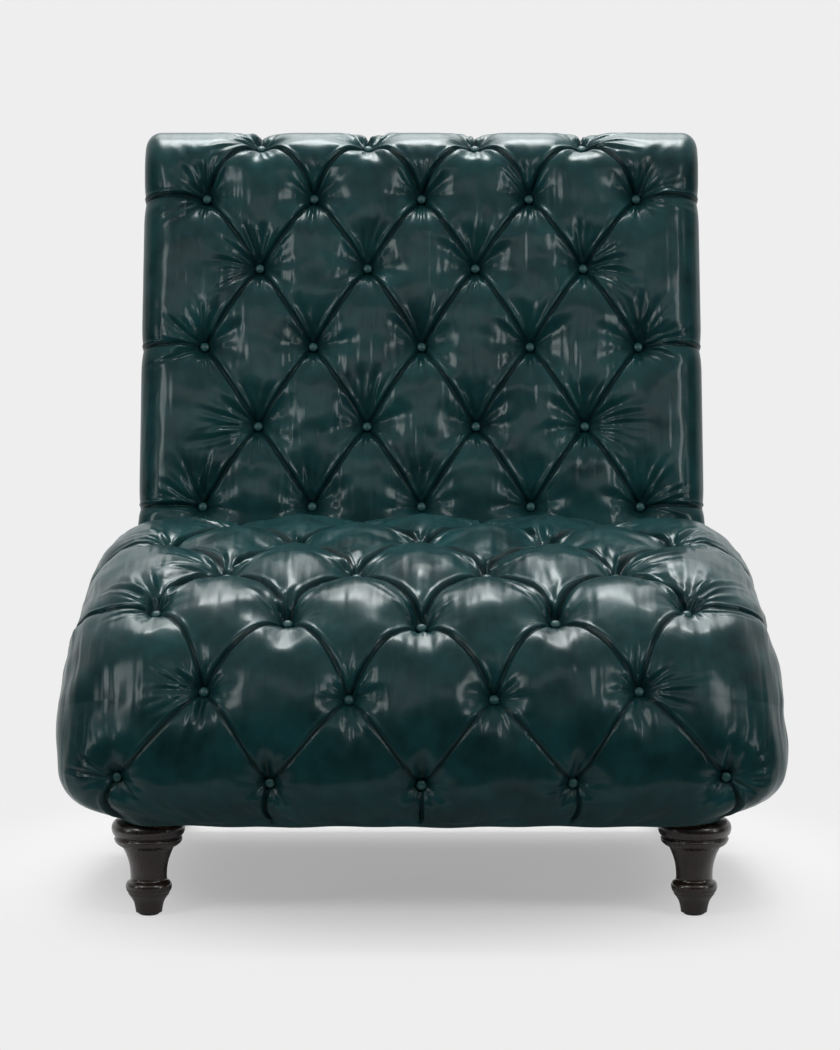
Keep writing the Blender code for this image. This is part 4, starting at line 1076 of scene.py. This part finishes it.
def repeat_on_points(item, shape, size, material):
    """Puts the shape on every point, turned to the point's facing."""
    tree = bpy.data.node_groups.new("buttons_on_points", "GeometryNodeTree")
    tree.interface.new_socket("Points", in_out="INPUT", socket_type="NodeSocketGeometry")
    sized = tree.interface.new_socket("Button size", in_out="INPUT", socket_type="NodeSocketFloat")
    tree.interface.new_socket("Buttons", in_out="OUTPUT", socket_type="NodeSocketGeometry")
    source, result = (tree.nodes.new(kind) for kind in ("NodeGroupInput", "NodeGroupOutput"))
    kinds = ("InputNamedAttribute", "ObjectInfo", "InstanceOnPoints", "RealizeInstances", "SetMaterial")
    known, info, put, real, finish = (tree.nodes.new("GeometryNode" + kind) for kind in kinds)
    face = tree.nodes.new("FunctionNodeAlignRotationToVector")
    known.data_type, face.axis = "FLOAT_VECTOR", "Z"
    known.inputs["Name"].default_value = "facing"
    info.inputs["Object"].default_value = shape
    finish.inputs["Material"].default_value = material
    for start, output, end, entry in (
        (known, "Attribute", face, "Vector"),
        (source, "Points", put, "Points"),
        (info, "Geometry", put, "Instance"),
        (face, "Rotation", put, "Rotation"),
        (source, "Button size", put, "Scale"),
        (put, "Instances", real, "Geometry"),
        (real, "Geometry", finish, "Geometry"),
        (finish, "Geometry", result, "Buttons"),
    ):
        tree.links.new(start.outputs[output], end.inputs[entry])
    step = item.modifiers.new("buttons", "NODES")
    step.node_group = tree
    step[sized.identifier] = size
    return made_plain(item)


repeat_on_points(buttons_piece, button_shape, 1.0, BUTTON_LEATHER)
bpy.data.objects.remove(button_shape, do_unlink=True)
print("buttons:", len(buttons_piece.data.polygons), "faces")

# %% [markdown]
# Legs
#
# The front legs are turned on a lathe: a foot, a ring, a vase, a bead and a collar. A profile of radius and height,
# with its corners cut twice to round them, is spun about an upright axis. The rear legs are plain, raked and square.
# All four are dark stained and lacquered, so the grain hardly shows and the gloss is even.


# %% Lacquered wood
def wood_look(name, dark, light, roughness, coat, grain):
    look = Look(name, roughness, Coat_Roughness=0.08)
    along = look.stretched(look.place(), (1.0, 1.0, 0.10))
    rings = look.noise(along, grain, 5.0, 0.62)
    pores = look.noise(along, grain * 9, 2.0)
    look.set(Base_Color=look.tones(rings * 0.8 + pores * 0.2, dark, light), Coat_Weight=coat)
    look.set(Roughness=look.tones(pores, roughness * 0.8, roughness * 1.25))
    look.set(Normal=look.bump(pores, 0.08, 0.0004))
    return look.material


DARK_WOOD = wood_look("dark_wood", (0.0060, 0.0032, 0.0022), (0.0150, 0.0078, 0.0050), 0.30, 0.2, 60.0)
LEG_PROFILE = (
    (0.0159, 0.0033), (0.0163, 0.0060), (0.0175, 0.0129), (0.0194, 0.0183), (0.0232, 0.0237), (0.0250, 0.0258),
    (0.0252, 0.0280), (0.0272, 0.0300), (0.0284, 0.0352), (0.0272, 0.0402), (0.0240, 0.0420), (0.0222, 0.0436),
    (0.0221, 0.0500), (0.0230, 0.0610), (0.0259, 0.0720), (0.0310, 0.0840), (0.0345, 0.0856), (0.0366, 0.0868),
    (0.0403, 0.0900), (0.0417, 0.0936), (0.0410, 0.0958), (0.0396, 0.0966), (0.0400, 0.0976), (0.0432, 0.1000),
    (0.0451, 0.1070), (0.0438, 0.1128), (0.0400, 0.1170), (0.0366, 0.1186), (0.0352, 0.1204), (0.0350, 0.1217),
)
REAR_LEG_TOP, REAR_LEG_FOOT = 0.044, 0.028


def cut_corners(points, times):
    """A line of points with its corners cut, so many times."""
    points = np.array(points)
    for _ in range(times):
        quarter = points[:-1] * 0.75 + points[1:] * 0.25
        far = points[:-1] * 0.25 + points[1:] * 0.75
        points = np.vstack([points[:1], np.stack([quarter, far], axis=1).reshape(-1, 2), points[-1:]])
    return points


# %% Front legs
legs = {}
for side in ("left", "right"):
    low, high = (Vector(c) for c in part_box(f"front_leg_{side}"))
    leg = turned(f"turned_leg_{side}", cut_corners(LEG_PROFILE, 2), 64, DARK_WOOD)
    for vertex in leg.data.vertices:
        vertex.co += Vector(((low.x + high.x) / 2, (low.y + high.y) / 2, 0))
    legs[f"front_leg_{side}"] = leg
print("leg", round(high.z - low.z, 4), "m tall")


# %% Rear legs
def square_leg(name, low, high, top, foot):
    """A raked, tapered square leg: its top at the front of the box, its foot at the back."""
    x = (low.x + high.x) / 2
    ends = ((top / 2, low.y + top / 2, high.z), (foot / 2, high.y - foot / 2, low.z))
    corners = ((-1, -1), (1, -1), (1, 1), (-1, 1))
    points = [(x + a * half, y + b * half, z) for half, y, z in ends for a, b in corners]
    faces = [(0, 1, 2, 3), (4, 7, 6, 5), (0, 4, 5, 1), (1, 5, 6, 2), (2, 6, 7, 3), (3, 7, 4, 0)]
    item = built(name, points, faces, DARK_WOOD)
    edge = item.modifiers.new("soft_edges", "BEVEL")
    edge.width, edge.segments = 0.003, 4
    made_plain(item).data.shade_smooth()
    return item


for side in ("left", "right"):
    low, high = (Vector(c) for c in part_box(f"rear_leg_{side}"))
    legs[f"rear_leg_{side}"] = square_leg(f"square_leg_{side}", low, high, REAR_LEG_TOP, REAR_LEG_FOOT)
print(len(legs), "legs")

# %% [markdown]
# Outside back and dust cloth
#
# Behind, a plain leather panel is drawn flat over the frame and sewn in along its edges. Below, a thin black cloth
# hides the webbing. Both are sheets, so each is one grid with a little slack in it.


# %% Outside back
PANEL_HALF, PANEL_CELL = 0.3512, 0.006
PANEL_BELOW_ROLL, PANEL_ABOVE_HEM = 0.0004, 0.006


def outside_back():
    rows = steps(roll_end + PANEL_BELOW_ROLL, PANEL_CELL, back_track.length - PANEL_ABOVE_HEM)
    x, s = np.meshgrid(steps(-PANEL_HALF, PANEL_CELL, PANEL_HALF), rows)
    rim = np.minimum(PANEL_HALF - np.abs(x), np.minimum(s - rows[0], rows[-1] - s))
    height = 0.0022 - 0.0050 * np.clip(1 - rim / 0.006, 0, 1) ** 2 + unevenness(x, s, 0.0005)
    height += 0.0012 * np.clip(rim / 0.15, 0, 1)
    yz = back_track.at(s) - back_track.normal(s) * height[..., None]
    points = np.concatenate([x[..., None], yz], axis=-1)
    # Painted shade along the sewn edges: nearness to the rim darkens the leather's colour there, as in the folds
    near = np.exp(-((rim / 0.004) ** 2))
    return leather_piece("outside_back_leather", points, grid_faces(*x.shape), x, s, near, back)


panel_piece = outside_back()


# %% Dust cloth
def cloth_look():
    look = Look("dust_cloth", 0.9)
    fibres = look.noise(look.place(), 900.0, 4.0, 0.7)
    look.set(Base_Color=look.tones(fibres, (0.010, 0.010, 0.011), (0.026, 0.026, 0.028)))
    look.set(Normal=look.bump(fibres, 0.4, 0.0006))
    return look.material


DUST_CLOTH = cloth_look()
dust_low, dust_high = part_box("dust_cover")
FRONT_NOTCH, REAR_NOTCH = 0.2968, 0.3126
FRONT_CLEAR, REAR_CLEAR = 0.0357, 0.0006
DUST_LIFT, DUST_SAG = 0.0004, 0.0030


def dust_cloth():
    """A sagging grid with notches round the legs."""
    wide, near, far = dust_high[0], dust_low[1], dust_high[1]
    leg_front, leg_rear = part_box("front_leg_left"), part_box("rear_leg_left")
    front_cut = (leg_front[0][1] + leg_front[1][1]) / 2 + FRONT_CLEAR
    rear_cut = leg_rear[0][1] - REAR_CLEAR
    columns = steps(
        -wide, 0.008, -REAR_NOTCH, 0.008, -FRONT_NOTCH, 0.010, FRONT_NOTCH, 0.008, REAR_NOTCH, 0.008, wide
    )
    rows = steps(near, 0.010, front_cut, 0.010, rear_cut, 0.008, far)
    x, y = np.meshgrid(columns, rows)
    sag = np.clip((wide - np.abs(x)) * 4, 0, 1) * np.clip(np.minimum(y - near, far - y) * 6, 0, 1)
    z = dust_low[2] + DUST_LIFT - DUST_SAG * sag + unevenness(x, y, 0.0005) * sag
    mid_x, mid_y = np.abs(x[:-1, :-1] + x[1:, 1:]) / 2, (y[:-1, :-1] + y[1:, 1:]) / 2
    keep = ~((mid_x > FRONT_NOTCH) & (mid_y < front_cut)) & ~((mid_x > REAR_NOTCH) & (mid_y > rear_cut))
    quads = grid_faces(*x.shape, keep)[:, ::-1]
    return grid_piece("dust_cloth", np.stack([x, y, z], axis=-1), quads, DUST_CLOTH)[0]


dust_piece = dust_cloth()

# %% [markdown]
# What stays inside
#
# The rails, posts, webbing, bolts and glides are the frame's own solids. Little of them shows, but each gets the
# finish of the real thing: sawn hardwood, woven jute, zinc-plated steel and moulded plastic.


# %% Finishes for the frame
def webbing_look():
    look = Look("webbing", 0.85)
    place = look.place()
    waves = [
        look.node("TexWave", {"Vector": place, "Scale": 90.0, "Distortion": 1.5}, bands_direction=way)
        for way in ("X", "Y", "Z")
    ]
    weave = (waves[0] + waves[1] + waves[2]) / 3
    look.set(Base_Color=look.ramp(weave, (0.25, (0.20, 0.14, 0.07)), (0.75, (0.45, 0.36, 0.22))))
    look.set(Normal=look.bump(weave, 0.5, 0.001))
    return look.material


def plain_look(name, dark, light, roughness, metallic, scale):
    look = Look(name, roughness, Metallic=metallic)
    tone = look.noise(look.place(), scale, 4.0)
    look.set(Base_Color=look.tones(tone, dark, light))
    look.set(Roughness=look.tones(tone, roughness * 0.8, roughness * 1.2))
    look.set(Normal=look.bump(tone, 0.1, 0.0005))
    return look.material


FINISHES = {
    "rail": wood_look("frame_wood", (0.36, 0.22, 0.11), (0.58, 0.40, 0.22), 0.6, 0.0, 30.0),
    "strap": webbing_look(),
    "bolt": plain_look("steel", (0.40, 0.40, 0.41), (0.62, 0.62, 0.64), 0.35, 1.0, 300.0),
    "glide": plain_look("glide", (0.015, 0.015, 0.015), (0.035, 0.035, 0.035), 0.5, 0.0, 400.0),
    "foam": plain_look("foam", (0.70, 0.62, 0.42), (0.85, 0.78, 0.58), 0.95, 0.0, 500.0),
}
for name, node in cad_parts.items():
    for part, finish in FINISHES.items():
        if part in name or (part == "rail" and name.startswith(("post", "corner"))):
            node.material_slots[0].material = finish
print("finished", len(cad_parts), "frame nodes")

# %% [markdown]
# Attaching the pieces
#
# Every piece rides on the chair's one body, and the solids of the frame that it stands for are hidden.

# %% What stands for what
stands_for = {
    seat_piece: ("leather", ["seat_cover", "seat_foam"]),
    back_piece: ("leather", ["back_cover", "back_foam"]),
    panel_piece: ("leather", ["outside_back"]),
    dust_piece: ("dust_cloth", ["dust_cover"]),
    buttons_piece: ("leather", [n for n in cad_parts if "button" in n]),
}
stands_for.update({leg: ("dark_wood", [name]) for name, leg in legs.items()})
for piece, (slot, nodes) in stands_for.items():
    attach(piece, "root")
    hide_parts(*nodes)
new_low, new_high = (list(map(float, corner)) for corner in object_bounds())
grown = [[round(a - b, 4) for a, b in zip(cad_low, new_low)], [round(b - a, 4) for a, b in zip(cad_high, new_high)]]
print("grown by", *grown)
